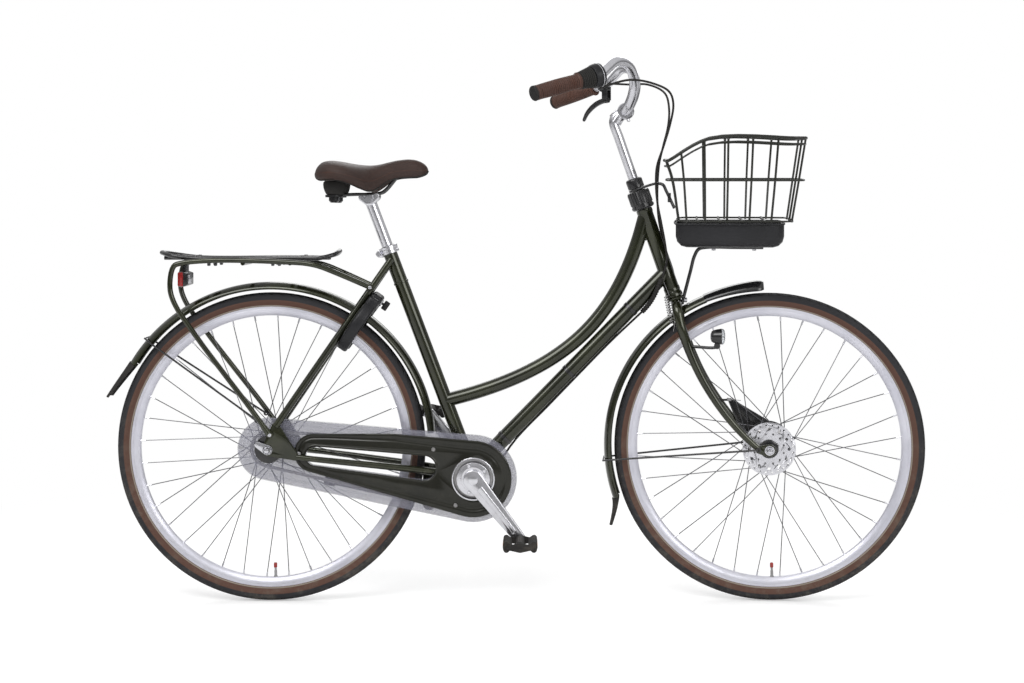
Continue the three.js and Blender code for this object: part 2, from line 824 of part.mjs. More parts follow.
function buildWheels() {
  place('rear_tyre', tyreSolid(rearAxle), 'rubber');
  place('rear_rim', rimSolid(rearAxle), 'silver');
  place('rear_hub', hubSolid(rearAxle, rearHubRadius, rearFlangeRadius, rearHubRight, rearHubLeft,
    rearHubEnd, rearHubEndLeft, rearSpokeTurn), 'steel');
  place('front_tyre', tyreSolid(frontAxle), 'rubber', steeringInner);
  place('front_rim', rimSolid(frontAxle), 'silver', steeringInner);
  place('front_hub', hubSolid(frontAxle, frontHubRadius, frontFlangeRadius, frontHubRight, frontHubLeft,
    frontHubEnd, frontHubEndLeft, frontSpokeTurn), 'silver', steeringInner);
}

// Stem and handlebar, in the straight-ahead position
const stemHead = along(headBottom, headUp, quillRise);
const barClamp = along(along(stemHead, headAhead, stemReach), UP, stemRise);
const barShares = [
  [0, 0.08, 0], [0.02, 0.12, 0.05], [0.08, 0.18, 0.27], [0.115, 0.25, 0.6],
  [0.055, 0.393, 0.93], [-0.087, 0.56, 1], [-0.251, 0.677, 0.72],
];
const barEndShares = [-1, 1, 0.3];
const onBar = ([ahead, out, rise], side) =>
  V(barClamp.x + barSweep * ahead, side * barHalfWidth * out, barClamp.z + barHeight * rise);

// The straight end of the bar on one side: a point on it at a distance, and its direction
function barEnd(side) {
  const start = onBar(barShares.at(-1), side);
  const end = onBar(barEndShares, side);
  const direction = end.clone().sub(start).normalize();
  return { start, end, direction, length: start.distanceTo(end),
    at: (distance) => along(start, direction, distance) };
}

function buildStem() {
  const foot = along(steererTop, headUp, -quillInsert);
  const half = stemWidth / 2;
  const head = hullPlate([
    [stemHead.x, stemHead.z, quillRadius + overrun], [barClamp.x, barClamp.z, stemHeadRadius],
  ], -half, half, ringSides);
  const barWay = rod(along(barClamp, LEFT, -half - overrun), along(barClamp, LEFT, half + overrun),
    snugOf(barRadius));
  place('stem', cut(join(rod(foot, stemHead, quillRadius, roundSides), head), barWay), 'silver',
    steeringInner);
}

function buildHandlebar() {
  const middle = rod(along(barClamp, LEFT, -barStraight), along(barClamp, LEFT, barStraight), barRadius);
  const sides = [1, -1].flatMap((side) => {
    const end = barEnd(side);
    return [tube(smooth(barShares.map((shares) => onBar(shares, side))), barRadius, smallSides, tubeSteps),
      rod(end.start, end.end, barRadius)];
  });
  place('handlebar', join(middle, sides), 'silver', steeringInner);
}

function gripSolid(end, from) {
  const full = end.length + gripEnd - from;
  const bore = boreOf(barRadius, roundSides);
  return turned(end.at(from), end.direction, [
    [bore, 0], [gripRadius + gripEnd, 0], [gripRadius + gripEnd, gripEnd], [gripRadius, gripEnd * 3],
    [gripRadius + gripEnd / 3, full / 2],
    [gripRadius, full - gripEnd * 3], [gripRadius - gripEnd, full], [0, full],
    [0, end.length - from + clearance],
    [bore, end.length - from + clearance],
  ]);
}

function sleeve(end, from, length, radius) {
  const bore = boreOf(barRadius, roundSides);
  return turned(end.at(from), end.direction, [[bore, 0], [radius, 0], [radius, length], [bore, length]]);
}

// The lever's pin, below and ahead of the bar, and the direction in which the lever hangs off the bar
function leverFrame() {
  const end = barEnd(1);
  const down = UP.clone().negate();
  const away = along(down, end.direction, -down.dot(end.direction)).normalize();
  const root = end.at(leverClampPlace + leverClampLength / 2);
  return { end, away, pin: along(root, away, leverReach),
    axis: end.direction.clone().cross(away).normalize() };
}

function buildControls() {
  const right = barEnd(-1);
  const left = barEnd(1);
  const twistFrom = shifterPlace + shifterLength + clearance;
  place('shifter_housing', sleeve(right, shifterPlace, shifterLength, shifterRadius), 'black',
    steeringInner);
  place('twist_grip', sleeve(right, twistFrom, twistLength, twistRadius), 'leather', steeringInner);
  place('right_grip', gripSolid(right, twistFrom + twistLength + clearance), 'leather', steeringInner);
  place('left_grip', gripSolid(left, longGripPlace), 'leather', steeringInner);

  const { end, away, pin, axis } = leverFrame();
  const half = leverClampLength / 2;
  const ear = along(pin, away, leverThickness / 2);
  const root = end.at(leverClampPlace + half);
  const turn = new THREE.Quaternion().setFromRotationMatrix(new THREE.Matrix4().makeBasis(away, axis,
    away.clone().cross(axis)));
  const carried = (size, centre) => {
    const geometry = new THREE.BoxGeometry(size.x, size.y, size.z);
    geometry.applyQuaternion(turn);
    geometry.translate(centre.x, centre.y, centre.z);
    return toSolid(geometry);
  };
  const reach = root.distanceTo(ear);
  const body = carried(V(reach, leverThickness * 2, leverClampLength), mix(root, ear, 1 / 2));
  const barWay = rod(end.at(leverClampPlace - overrun),
    end.at(leverClampPlace + leverClampLength + overrun), snugOf(barRadius));
  const throat = carried(V(leverClampLength, leverThickness + clearance * 2, leverClampLength * 2), pin);
  const collar = rod(end.at(leverClampPlace), end.at(leverClampPlace + leverClampLength), leverClampRadius,
    roundSides);
  const pinRod = rod(along(pin, axis, -leverThickness), along(pin, axis, leverThickness), leverPinRadius);
  place('lever_clamp', join(cut(join(collar, body), barWay, throat), pinRod), 'black', steeringInner);
  const tip = along(along(pin, end.direction, leverLength), away, leverThickness);
  const blade = join(
    rod(along(pin, axis, -leverThickness / 2), along(pin, axis, leverThickness / 2),
    leverThickness * 2 / 3),
    rod(pin, tip, leverThickness / 2, smallSides, leverThickness / 3),
  );
  const pinWay = rod(along(pin, axis, -leverThickness), along(pin, axis, leverThickness),
    boreOf(leverPinRadius));
  place('brake_lever', cut(blade, pinWay), 'black', steeringInner);
}

// Mudguards
const guardShares = [[1, 0], [0.94, 0.66], [0.5, 1], [-0.5, 1], [-0.94, 0.66], [-1, 0]];

function guardSection(radius, wall) {
  const outer = guardShares.map(([out, rise]) => [radius - guardDepth * (1 - rise), guardHalfWidth * out]);
  const inner = guardShares.map(([out, rise]) =>
    [radius - guardDepth * (1 - rise) - (rise > 0 ? wall : 0), (guardHalfWidth - wall) * out]);
  return [...outer, ...inner.reverse()];
}

function flapSolid(centre, stations) {
  const half = guardHalfWidth - guardWall - clearance * 2;
  return loft(stations.map(([degrees, radius]) => [
    onWheel(centre, degrees, radius, half), onWheel(centre, degrees, radius, -half),
    onWheel(centre, degrees, radius - flapThickness, -half),
      onWheel(centre, degrees, radius - flapThickness, half),
  ]));
}

// A wire stay that runs from one foot over the mudguard to the other foot
function guardStay(centre, degrees, foot, footSide) {
  const side = guardHalfWidth + clearance + stayRadius;
  const low = guardRadius - guardDepth;
  const high = guardRadius + clearance + stayRadius;
  const half = [1, -1].flatMap((way) => [
    rod(along(foot, LEFT, way * footSide), onWheel(centre, degrees, low, way * side), stayRadius,
    wireSides + 1),
    rod(onWheel(centre, degrees, low, way * side), onWheel(centre, degrees, high, way * side), stayRadius,
    wireSides + 1),
  ]);
  return join(half, rod(onWheel(centre, degrees, high, -side), onWheel(centre, degrees, high, side),
    stayRadius, wireSides + 1));
}

const carrierSide = rearSpacing / 2 + dropoutThickness + clearance + carrierTubeRadius;

function buildMudguards() {
  const seam = THREE.MathUtils.radToDeg(clearance / guardRadius);
  place('rear_mudguard', sweepArc(guardSection(guardRadius, guardWall), rearAxle, rearGuardStart,
    rearGuardEnd, hullSides), 'paint');
  place('rear_flap', flapSolid(rearAxle, [
    [rearGuardEnd + seam, guardRadius], [rearFlapEnd, guardRadius + rearFlapSpread],
  ]), 'black');
  const footSide = carrierSide - carrierTubeRadius - stayRadius + clearance * 2;
  const foot = along(along(rearAxle, FORWARD, -stayFootBack), UP, stayFootRise);
  place('rear_guard_stay', guardStay(rearAxle, rearStayAngle, foot, footSide), 'steel');

  const section = guardSection(guardRadius, guardWall);
  place('front_mudguard', sweepArc(section, frontAxle, frontGuardStart, frontGuardEnd, tubeSteps), 'paint',
    steeringInner);
  place('mudguard_nose', sweepArc(section, frontAxle, noseStart, frontGuardStart - seam, wireSides),
    'black', steeringInner);
  place('front_flap', flapSolid(frontAxle, [
    [frontGuardEnd + seam, guardRadius], [frontFlapEnd, guardRadius + frontFlapSpread],
  ]), 'black', steeringInner);
  const forkFoot = onFork(...bladeShares.at(-1).slice(0, 2), 0);
  const forkSideOut = bladeEndSide + bladeEndRadius + clearance + stayRadius;
  place('front_guard_stay', guardStay(frontAxle, frontStayAngle, forkFoot, forkSideOut), 'steel',
    steeringInner);
}

// Carrier and its platform
const platformShares = [
  [1, 0, 0], [0.982, 0.5, 0], [0.928, 1, 0], [0.324, 1, 0], [0.162, 1, 0], [0.108, 0.993, 0],
  [0.027, 0.75, 0.5], [0, 0, 1],
];

function buildCarrier() {
  const foot = along(along(rearAxle, FORWARD, carrierFootBack), UP, carrierFootRise);
  const joinRun = (carrierJoinHeight - seatstayEnd.z) / seatstayUp.z;
  const joinPoint = along(seatstayEnd, seatstayUp, joinRun);
  const joinSide = seatstaySide(joinPoint) + seatstayRadius + clearance + carrierTubeRadius;
  const sides = [1, -1].map((side) => tube(smooth([
    V(foot.x, side * carrierSide, foot.z),
    V(-carrierRear, side * carrierHalfWidth, carrierBendHeight),
    V(-carrierRear + carrierTubeRadius, side * carrierHalfWidth, carrierTopHeight - platformHook),
    V(-carrierRear + carrierBendRun, side * carrierHalfWidth, carrierTopHeight),
    V(-carrierFront - carrierBendRun, side * carrierHalfWidth, carrierTopHeight),
    V(-carrierFront, side * carrierHalfWidth, carrierTopHeight - carrierTubeRadius),
    V(joinPoint.x, side * joinSide, joinPoint.z),
  ]), carrierTubeRadius, smallSides - 2, hullSides));
  const bars = carrierBarShares.map((share) => {
    const x = THREE.MathUtils.lerp(-carrierRear + carrierBendRun, -carrierFront - carrierBendRun, share);
    return rod(V(x, -carrierHalfWidth, carrierTopHeight), V(x, carrierHalfWidth, carrierTopHeight),
      platformWireRadius, smallSides - 2);
  });
  place('rear_carrier', join(sides, bars), 'paint');

  const top = carrierTopHeight + platformWireRadius * 2 + clearance * 3;
  const corner = platformHalfWidth / 2;
  const far = platformShares.slice(1, -1).reverse().map(([back, out, rise]) => [back, -out, rise]);
  const points = [...platformShares, ...far].map(([back, out, rise]) => V(
    THREE.MathUtils.lerp(-platformFront, -platformRear, back),
    platformHalfWidth * out,
    top + platformHook * rise,
  ));
  const wire = tube(smooth(points, true), platformWireRadius, smallSides - 2, loopSteps);
  const inner = [1, -1].map((side) => rod(V(-platformRear + corner / 3, side * corner / 2, top),
    V(-platformFront - corner, side * corner / 2, top), platformWireRadius - clearance, smallSides - 2));
  const clamps = clampShares.map((share) => block(V(THREE.MathUtils.lerp(-platformRear, -platformFront,
    share), 0, top),
    V(clampLength, platformHalfWidth * 2, clampHeight)));
  place('carrier_platform', join(wire, inner, clamps), 'black');
}

// Chaincase
const windowRear = [rearAxle.x + windowRearForward, axleHeight - windowRearDrop, windowRearRadius];
const windowFront = [-windowFrontBack, bracketHeight + windowFrontRise, windowFrontRadius];
const grown = ([x, z, radius], by) => [x, z, radius + by];

function buildChaincase() {
  const near = -caseInnerSide;
  const far = -(caseInnerSide + caseDepth);
  const ends = [[rearAxle.x, rearAxle.z, caseRearRadius], [0, bracketHeight, caseFrontRadius]];
  const window = [windowRear, windowFront];
  const tunnel = hullPlate(window.map((circle) => grown(circle, caseWall)), near + overrun, far - overrun);
  const hollow = cut(hullPlate(ends.map((circle) => grown(circle, -caseWall)), near - caseWall,
    far + caseWall), tunnel);
  const way = hullPlate(window, near + overrun, far - overrun - coverThickness);
  const stayWay = hullPlate([[-stayWayBack, bracketHeight + stayWayRadius / 2, stayWayRadius],
    [windowFront[0], windowFront[1], stayWayRadius]], near + overrun, near - overrun * 2);
  const axleWay = rod(along(rearAxle, LEFT, near + overrun), along(rearAxle, LEFT, near - overrun),
    axleHoleRadius, hullSides);
  const axleExit = rod(along(rearAxle, LEFT, far + overrun), along(rearAxle, LEFT, far - overrun),
    axleExitRadius, roundSides);
  const spindleWay = rod(along(bracket, LEFT, near + overrun), along(bracket, LEFT, near - overrun),
    caseBracketHole, hullSides);
  const crankWay = rod(along(bracket, LEFT, far + overrun), along(bracket, LEFT, far - overrun * 2),
    crankHoleRadius, hullSides);
  place('chaincase_shell', cut(hullPlate(ends, near, far, hullSides + wireSides), hollow, way, stayWay,
    axleWay, axleExit, spindleWay, crankWay),
    'smoke');
  const coverZ = axleHeight - coverDrop;
  const cover = hullPlate([[0, bracketHeight, coverFrontRadius],
    [rearAxle.x + coverRearForward, coverZ, coverRearRadius],
    [rearAxle.x + coverTopForward, coverZ, coverRearRadius]], far - clearance,
    far - clearance - coverThickness, hullSides);
  place('chaincase_cover', cut(cover, way, crankWay), 'paint');
}

// Chain drive
const chainringPitch = (chainPitch * chainringTeeth) / (2 * Math.PI);
const sprocketPitch = (chainPitch * sprocketTeeth) / (2 * Math.PI);

function chainOutline(offset) {
  const gap = bracket.clone().sub(rearAxle);
  const lie = Math.atan2(gap.z, gap.x);
  const lean = Math.asin((chainringPitch - sprocketPitch) / gap.length());
  const outline = [];
  const arc = (centre, radius, from, to, steps) => {
    for (let step = 0; step <= steps; step += 1) {
      const angle = THREE.MathUtils.lerp(from, to, step / steps);
      outline.push([centre.x + radius * Math.cos(angle), centre.z + radius * Math.sin(angle)]);
    }
  };
  const quarter = Math.PI / 2;
  arc(bracket, chainringPitch + offset, lie - lean - quarter, lie + lean + quarter, hullSides);
  arc(rearAxle, sprocketPitch + offset, lie + lean + quarter, lie - lean + quarter * 3, roundSides);
  return outline;
}

function toothedOutline(centre, teeth, pitchRadius) {
  const tip = pitchRadius - chainHalfHeight * chainDepthShare - clearance * 2;
  const shares = [[-toothBaseShare, tip - toothHeight], [0, tip], [toothBaseShare, tip - toothHeight]];
  const outline = [];
  for (let tooth = 0; tooth < teeth; tooth += 1) {
    for (const [share, radius] of shares) {
      const angle = ((tooth + share) * 2 * Math.PI) / teeth;
      outline.push([centre.x + radius * Math.cos(angle), centre.z + radius * Math.sin(angle)]);
    }
  }
  return outline;
}

function buildDrive() {
  const inner = -chainSide + chainHalfWidth;
  const outer = -chainSide - chainHalfWidth;
  const band = cut(plate(chainOutline(chainHalfHeight), inner, outer),
    plate(chainOutline(-chainHalfHeight * chainDepthShare), inner + overrun, outer - overrun));
  place('chain', band, 'steel');
  const half = sprocketThickness / 2;
  const sprocket = join(plate(toothedOutline(rearAxle, sprocketTeeth, sprocketPitch), -chainSide + half,
    -chainSide - half),
    rod(along(rearAxle, LEFT, -rearHubEnd - clearance), along(rearAxle, LEFT, -chainSide - overrun),
    sprocketBoss, roundSides));
  const pinWay = rod(rearAxle, along(rearAxle, LEFT, -chainSide * 2), boreOf(axleRadius));
  place('rear_sprocket', cut(sprocket, pinWay), 'steel');
  const ring = plate(toothedOutline(bracket, chainringTeeth, chainringPitch), -chainSide + half,
    -chainSide - half);
  const ringWay = rod(bracket, along(bracket, LEFT, -chainSide * 2), boreOf(spindleRadius, roundSides),
    roundSides);
  place('chainring', cut(ring, ringWay), 'steel');
}

// Cranks and pedals
const crankEye = (side) => along(bracket, V(Math.cos(crankAngle), 0, Math.sin(crankAngle)),
  -side * crankLength);

function crankSolid(side) {
  const eye = crankEye(side);
  const inner = side * crankInnerSide;
  const outer = side * (crankInnerSide + crankThickness);
  const arm = hullPlate([[bracket.x, bracket.z, crankBossRadius], [eye.x, eye.z, crankEyeRadius]], inner,
    outer, ringSides);
  const from = side < 0 ? -chainSide - sprocketThickness / 2 - clearance : inner - overrun;
  const boss = rod(along(bracket, LEFT, from), along(bracket, LEFT, inner + side),
    side < 0 ? spiderRadius : crankBossRadius, hullSides);
  const pin = rod(along(eye, LEFT, outer - side * overrun),
    along(eye, LEFT, outer + side * (pedalGap + pedalLength)), pedalPinRadius);
  const seat = inner + side * crankThickness / 2;
  const spindleWay = rod(bracket, along(bracket, LEFT, seat + side * clearance), boreOf(spindleRadius),
    smallSides);
  return side < 0 ? cut(join(arm, boss, pin), spindleWay) : join(arm, boss, pin);
}

function pedalSolid(side) {
  const eye = crankEye(side);
  const inner = side * (crankInnerSide + crankThickness + pedalGap);
  const outer = inner + side * pedalLength;
  const core = rod(along(eye, LEFT, inner), along(eye, LEFT, outer + side * overrun), pedalTubeRadius);
  const reach = (pedalWidth - pedalTread) / 2;
  const treads = [1, -1].map((way) => block(V(eye.x + way * reach, (inner + outer) / 2, eye.z),
    V(pedalTread, pedalLength, pedalHeight)));
  const plates = [inner, outer - side * pedalPlate].map((from) => plate([
    [eye.x - reach, eye.z - pedalHeight / 3], [eye.x + reach, eye.z - pedalHeight / 3],
    [eye.x + reach, eye.z + pedalHeight / 3], [eye.x - reach, eye.z + pedalHeight / 3],
  ], from, from + side * pedalPlate));
  const pinWay = rod(along(eye, LEFT, inner - side * overrun), along(eye, LEFT, outer + side * clearance),
    boreOf(pedalPinRadius));
  return cut(join(core, treads, plates), pinWay);
}

function buildCranks() {
  const half = crankInnerSide + crankThickness / 2;
  const spindle = rod(along(bracket, LEFT, -half), along(bracket, LEFT, half), spindleRadius);
  for (const [side, name] of [[-1, 'right'], [1, 'left']]) {
    place(`${name}_crank`, side > 0 ? join(crankSolid(side), spindle) : crankSolid(side), 'silver');
    place(`${name}_pedal`, pedalSolid(side), 'rubber');
    const bore = boreOf(spindleRadius, roundSides);
    const barrel = bracketBore * Math.cos(Math.PI / hullSides) - clearance;
    const flange = side < 0 ? caseInnerSide - clearance : bracketHalfWidth + overrun;
    place(`${name}_bracket_cup`, turned(bracket, V(0, side, 0), [
      [bore, bracketHalfWidth / 2], [barrel, bracketHalfWidth / 2], [barrel, bracketHalfWidth + clearance],
      [bracketRadius, bracketHalfWidth + clearance], [bracketRadius, flange], [bore, flange],
    ]), 'steel');
  }
}

// Axles, brake and hub fittings
function buildAxles() {
  place('rear_axle', axleSolid(rearAxle, rearSpacing / 2, dropoutThickness, chainSide + overrun + clearance,
    rearHubEndLeft + clearance), 'steel');
  place('front_axle', axleSolid(frontAxle, frontSpacing / 2, forkEndThickness, frontHubEnd + clearance,
    brakeOuter + clearance), 'steel', steeringInner);
  const bore = boreOf(axleRadius, ringSides);
  const drum = turned(frontAxle, LEFT, [
    [bore, brakeInner], [brakeRadius / 3, brakeInner], [brakeRadius, brakeInner + overrun],
    [brakeRadius, brakeOuter - overrun * 2],
    [brakeRadius * 2 / 3, brakeOuter], [bore, brakeOuter],
  ], ringSides);
  const arm = hullPlate([
    [frontAxle.x, frontAxle.z + brakeRadius / 2, brakeArmRadius],
    [frontAxle.x - brakeArmReach, frontAxle.z + brakeArmRise, brakeArmRadius],
  ], brakeOuter - overrun * 2, brakeOuter - overrun * 2 + brakeArmThickness, smallSides);
  const pinWay = rod(along(frontAxle, LEFT, brakeInner - overrun),
    along(frontAxle, LEFT, brakeOuter + overrun), boreOf(axleRadius, ringSides),
    ringSides);
  place('front_brake', cut(join(drum, arm), pinWay), 'black', steeringInner);
}

// Basket
function basketLoop(shareX, front, rear, half, height, rearHeight) {
  const c = basketCorner;
  return [
    V(front - c, half, height), V(front - c / 4, half - c / 4, height), V(front, half - c, height),
    V(front, c - half, height),
    V(front - c / 4, c / 4 - half, height), V(front - c, -half, height), V(shareX, -half, height),
    V(rear + c / 4, c / 4 - half, rearHeight), V(rear, c - half, rearHeight), V(rear, half - c, rearHeight),
    V(rear + c / 4, half - c / 4, rearHeight), V(shareX, half, height),
  ];
}

const wireLoop = (points, radius) => tube(smooth(points, true), radius, wireSides, loopSteps);

function buildBasket() {
  const middleInset = overrun;
  const bottomInset = basketHalfWidth - trayHalfWidth - overrun;
  const rim = basketLoop(basketKink, basketFront, basketRear, basketHalfWidth, basketTop, basketRearTop);
  const waist = basketLoop(basketRear + basketCorner, basketFront - middleInset, basketRear + middleInset,
    basketHalfWidth - middleInset, basketMiddle, basketMiddle);
  const foot = basketLoop(basketRear + basketCorner * 2, basketFront - bottomInset,
    basketRear + bottomInset,
    basketHalfWidth - bottomInset, basketBottom, basketBottom);
  const upright = (top, middle, low) => [tube(new THREE.CatmullRomCurve3([top, middle, low]), basketWire,
    wireSides, spokeSides)];
  const wires = [];
  for (const side of [1, -1]) {
    for (let wire = 0; wire < basketSideWires; wire += 1) {
      const share = (wire + 1 / 2) / basketSideWires;
      const top = THREE.MathUtils.lerp(basketKink, basketFront - basketCorner, share);
      const low = THREE.MathUtils.lerp(basketKink, basketFront - bottomInset - basketCorner, share);
      wires.push(...upright(V(top, side * basketHalfWidth, basketTop),
        V((top + low) / 2, side * (basketHalfWidth - middleInset), basketMiddle),
        V(low, side * (basketHalfWidth - bottomInset), basketBottom)));
    }
    const corner = side * (basketHalfWidth - basketCorner);
    const cornerLow = corner - side * bottomInset;
    wires.push(...upright(V(basketRear, corner, basketRearTop),
      V(basketRear + middleInset, corner, basketMiddle),
      V(basketRear + bottomInset, cornerLow, basketBottom)));
  }
  for (let wire = 0; wire < basketEndWires; wire += 1) {
    const side = THREE.MathUtils.lerp(-1, 1, wire / (basketEndWires - 1));
    const spread = side * (basketHalfWidth - basketCorner);
    const low = side * (basketHalfWidth - basketCorner - bottomInset);
    wires.push(...upright(V(basketFront, spread, basketTop),
      V(basketFront - middleInset, spread, basketMiddle),
      V(basketFront - bottomInset, low, basketBottom)));
  }
  place('basket', join(wireLoop(rim, basketRim), wireLoop(waist, basketWire), wireLoop(foot, basketWire),
    wires), 'wire', steeringInner);

  const centre = (trayFront + trayRear) / 2;
  const trayMiddle = trayTop - clearance - trayHeight / 2;
  const outline = (inset) => hullOutline([1, -1].flatMap((x) => [1, -1].map((y) => [
    centre + x * ((trayFront - trayRear) / 2 - basketCorner), y * (trayHalfWidth - basketCorner),
      basketCorner - inset,
  ])), roundSides);
  const slab = (inset, low, high) => {
    const shape = new THREE.Shape(outline(inset).map(([x, y]) => new THREE.Vector2(x, y)));
    const geometry = new THREE.ExtrudeGeometry(shape, { depth: high - low, bevelEnabled: false });
    geometry.translate(0, 0, low);
    return toSolid(geometry);
  };
  const low = trayMiddle - trayHeight / 2;
  const high = basketBottom - basketWire - clearance;
  const strutTop = V(strutPlace, 0, low + strutRadius);
  const crownFront = along(along(headBottom, headUp, -crownDrop), headAhead,
    bladeRadius + strutRadius - clearance);
  const floor = low + trayWall;
  const pad = slab(trayWall + trayPadInset, floor - trayWall / 2, floor + trayPadHeight);
  const tray = join(cut(slab(0, low, high), slab(trayWall, floor, high + overrun)), pad);
  place('basket_tray', join(tray, rod(strutTop, crownFront, strutRadius, smallSides - 2)), 'black',
    steeringInner);

  const ringPlace = along(headTop, headUp, collarHeight + clearance);
  const bore = boreOf(steererRadius, roundSides);
  const thickness = basketBracketRadius * 2;
  const ring = turned(ringPlace, headUp, [[bore, 0], [lockCapRadius, 0], [lockCapRadius, thickness],
    [bore, thickness]]);
  const wall = clearance + basketWire + basketBracketRadius;
  const arms = [1, -1].flatMap((side) => {
    const out = side * basketBracketHalfGap;
    const start = along(ringPlace, headUp, basketBracketRadius).setY(side * (bore + basketBracketRadius));
    const points = [start, along(start, headAhead, collarRadius + basketBracketRadius),
      V(basketRear - wall, out, basketBracketTop),
      V(basketRear + bottomInset - wall - overrun, out, basketBottom + basketCorner)];
    return points.slice(1).map((point, i) => rod(points[i], point, basketBracketRadius, smallSides - 2));
  });
  place('basket_bracket', join(ring, arms), 'black', steeringInner);
}

// Lights
function buildLights() {
  const centre = V(lampForward, -lampSide, lampHeight);
  const front = along(centre, FORWARD, lampLength);
  const blade = onFork(lampArmDrop / forkDrop, bladeShares[3][1], -bladeShares[3][2] * bladeEndSide);
  const bladeHere = THREE.MathUtils.lerp(bladeRadius, bladeEndRadius, lampArmShare);
  const seat = along(blade, headAhead, bladeHere + clearance + lampArmRadius);
  const under = along(along(centre, FORWARD, lampLength / 2), UP, -lampRadius / 2);
  const elbow = along(under, UP, seat.z - under.z);
  place('headlamp', join(rod(centre, front, lampRadius - overrun, roundSides, lampRadius),
    rod(under, elbow, lampArmRadius, smallSides - 2),
    rod(elbow, seat, lampArmRadius, smallSides - 2)), 'black', steeringInner);
  const glass = along(front, FORWARD, clearance);
  place('headlamp_lens', rod(glass, along(glass, FORWARD, lampLens), lampRadius, roundSides,
    lampRadius - overrun), 'clear', steeringInner);

  const half = tailHeight / 2;
  const body = hullPlate([
    [-tailBack, tailUp + half - overrun, overrun], [-tailBack, tailUp - half + overrun, overrun],
    [-tailBack - tailDepth, tailUp, half - overrun],
  ], -tailHalfWidth, tailHalfWidth, roundSides);
  const top = carrierTopHeight - platformWireRadius - clearance;
  const post = block(V(-carrierRear + carrierBendRun, 0, (tailUp + top) / 2),
    V(tailDepth / 2, tailHalfWidth, top - tailUp));
  place('rear_light', join(body, post), 'red');
}

// Ring lock
const lockOut = seatstayUp;
const lockAhead = V(seatstayUp.z, 0, -seatstayUp.x);
const lockCentre = (() => {
  const back = seatstayEnd.clone().sub(rearAxle).dot(lockAhead);
  const offset = back + seatstayRadius + clearance + lockThickness / 2;
  return along(along(rearAxle, lockOut, lockPlace), lockAhead, offset);
})();

function lockArc(section, fromDegrees, toDegrees, steps) {
  const flat = section.map(([radius, ahead]) => new THREE.Vector2(radius, ahead));
  const rings = [];
  for (let step = 0; step <= steps; step += 1) {
    const angle = radians(THREE.MathUtils.lerp(fromDegrees, toDegrees, step / steps));
    const out = lockOut.clone().multiplyScalar(Math.cos(angle)).addScaledVector(LEFT, Math.sin(angle));
    rings.push(section.map(([radius, ahead]) => along(along(lockCentre, out, radius), lockAhead, ahead)));
  }
  return loft(rings, THREE.ShapeUtils.triangulateShape(flat, []));
}

function buildLock() {
  const half = lockThickness / 2;
  const soft = half - overrun;
  const body = lockArc([[lockInnerRadius, -soft], [lockInnerRadius + overrun, -half],
    [lockOuterRadius - overrun, -half],
    [lockOuterRadius, -soft], [lockOuterRadius, soft], [lockOuterRadius - overrun, half],
    [lockInnerRadius + overrun, half],
    [lockInnerRadius, soft]], lockGap - 180, 180 - lockGap, ringSides);
  const ring = (radius) => Array.from({ length: smallSides }, (_, i) => {
    const angle = ((i + 1 / 2) * 2 * Math.PI) / smallSides;
    return [lockBoltPath + radius * Math.cos(angle), radius * Math.sin(angle)];
  });
  const way = lockArc(ring(boreOf(lockBoltRadius)), lockGap - 180 - overrun,
    lockGap - 180 + lockBoltSpan + overrun, smallSides);
  const catchWay = lockArc(ring(boreOf(lockBoltRadius)), 180 - lockGap - lockCatch, 180 - lockGap + overrun,
    wireSides);
  place('ring_lock', cut(body, way, catchWay), 'black');
  place('lock_bolt', lockArc(ring(lockBoltRadius), lockGap - 180 + 1, lockGap - 180 + lockBoltSpan,
    smallSides), 'steel');
}

// Seat post and saddle
const saddleShares = [
  [0, 0.56, -0.5], [0.05, 0.8, -0.1], [0.15, 1, 0.12], [0.32, 0.94, 0.05], [0.52, 0.58, -0.08],
  [0.7, 0.31, 0.04], [0.88, 0.21, 0.16], [1, 0.1, -0.3],
];
const saddleRingShares = [
  [0, 0], [0.5, -0.04], [0.84, -0.2], [1, -0.5], [0.96, -0.86], [0.8, -1], [0.4, -0.92], [0, -0.92],
  [-0.4, -0.92], [-0.8, -1], [-0.96, -0.86], [-1, -0.5], [-0.84, -0.2], [-0.5, -0.04],
];

function saddleSolid() {
  return loft(saddleShares.map(([run, wide, rise]) => saddleRingShares.map(([side, drop]) => V(
    THREE.MathUtils.lerp(-saddleBack, -saddleNose, run),
    saddleHalfWidth * wide * side,
    saddleTopHeight + saddleSkirt * (rise * (1 + drop) + drop),
  ))), THREE.ShapeUtils.triangulateShape(saddleRingShares.map(([side, drop]) => new THREE.Vector2(side,
    drop)), []));
}

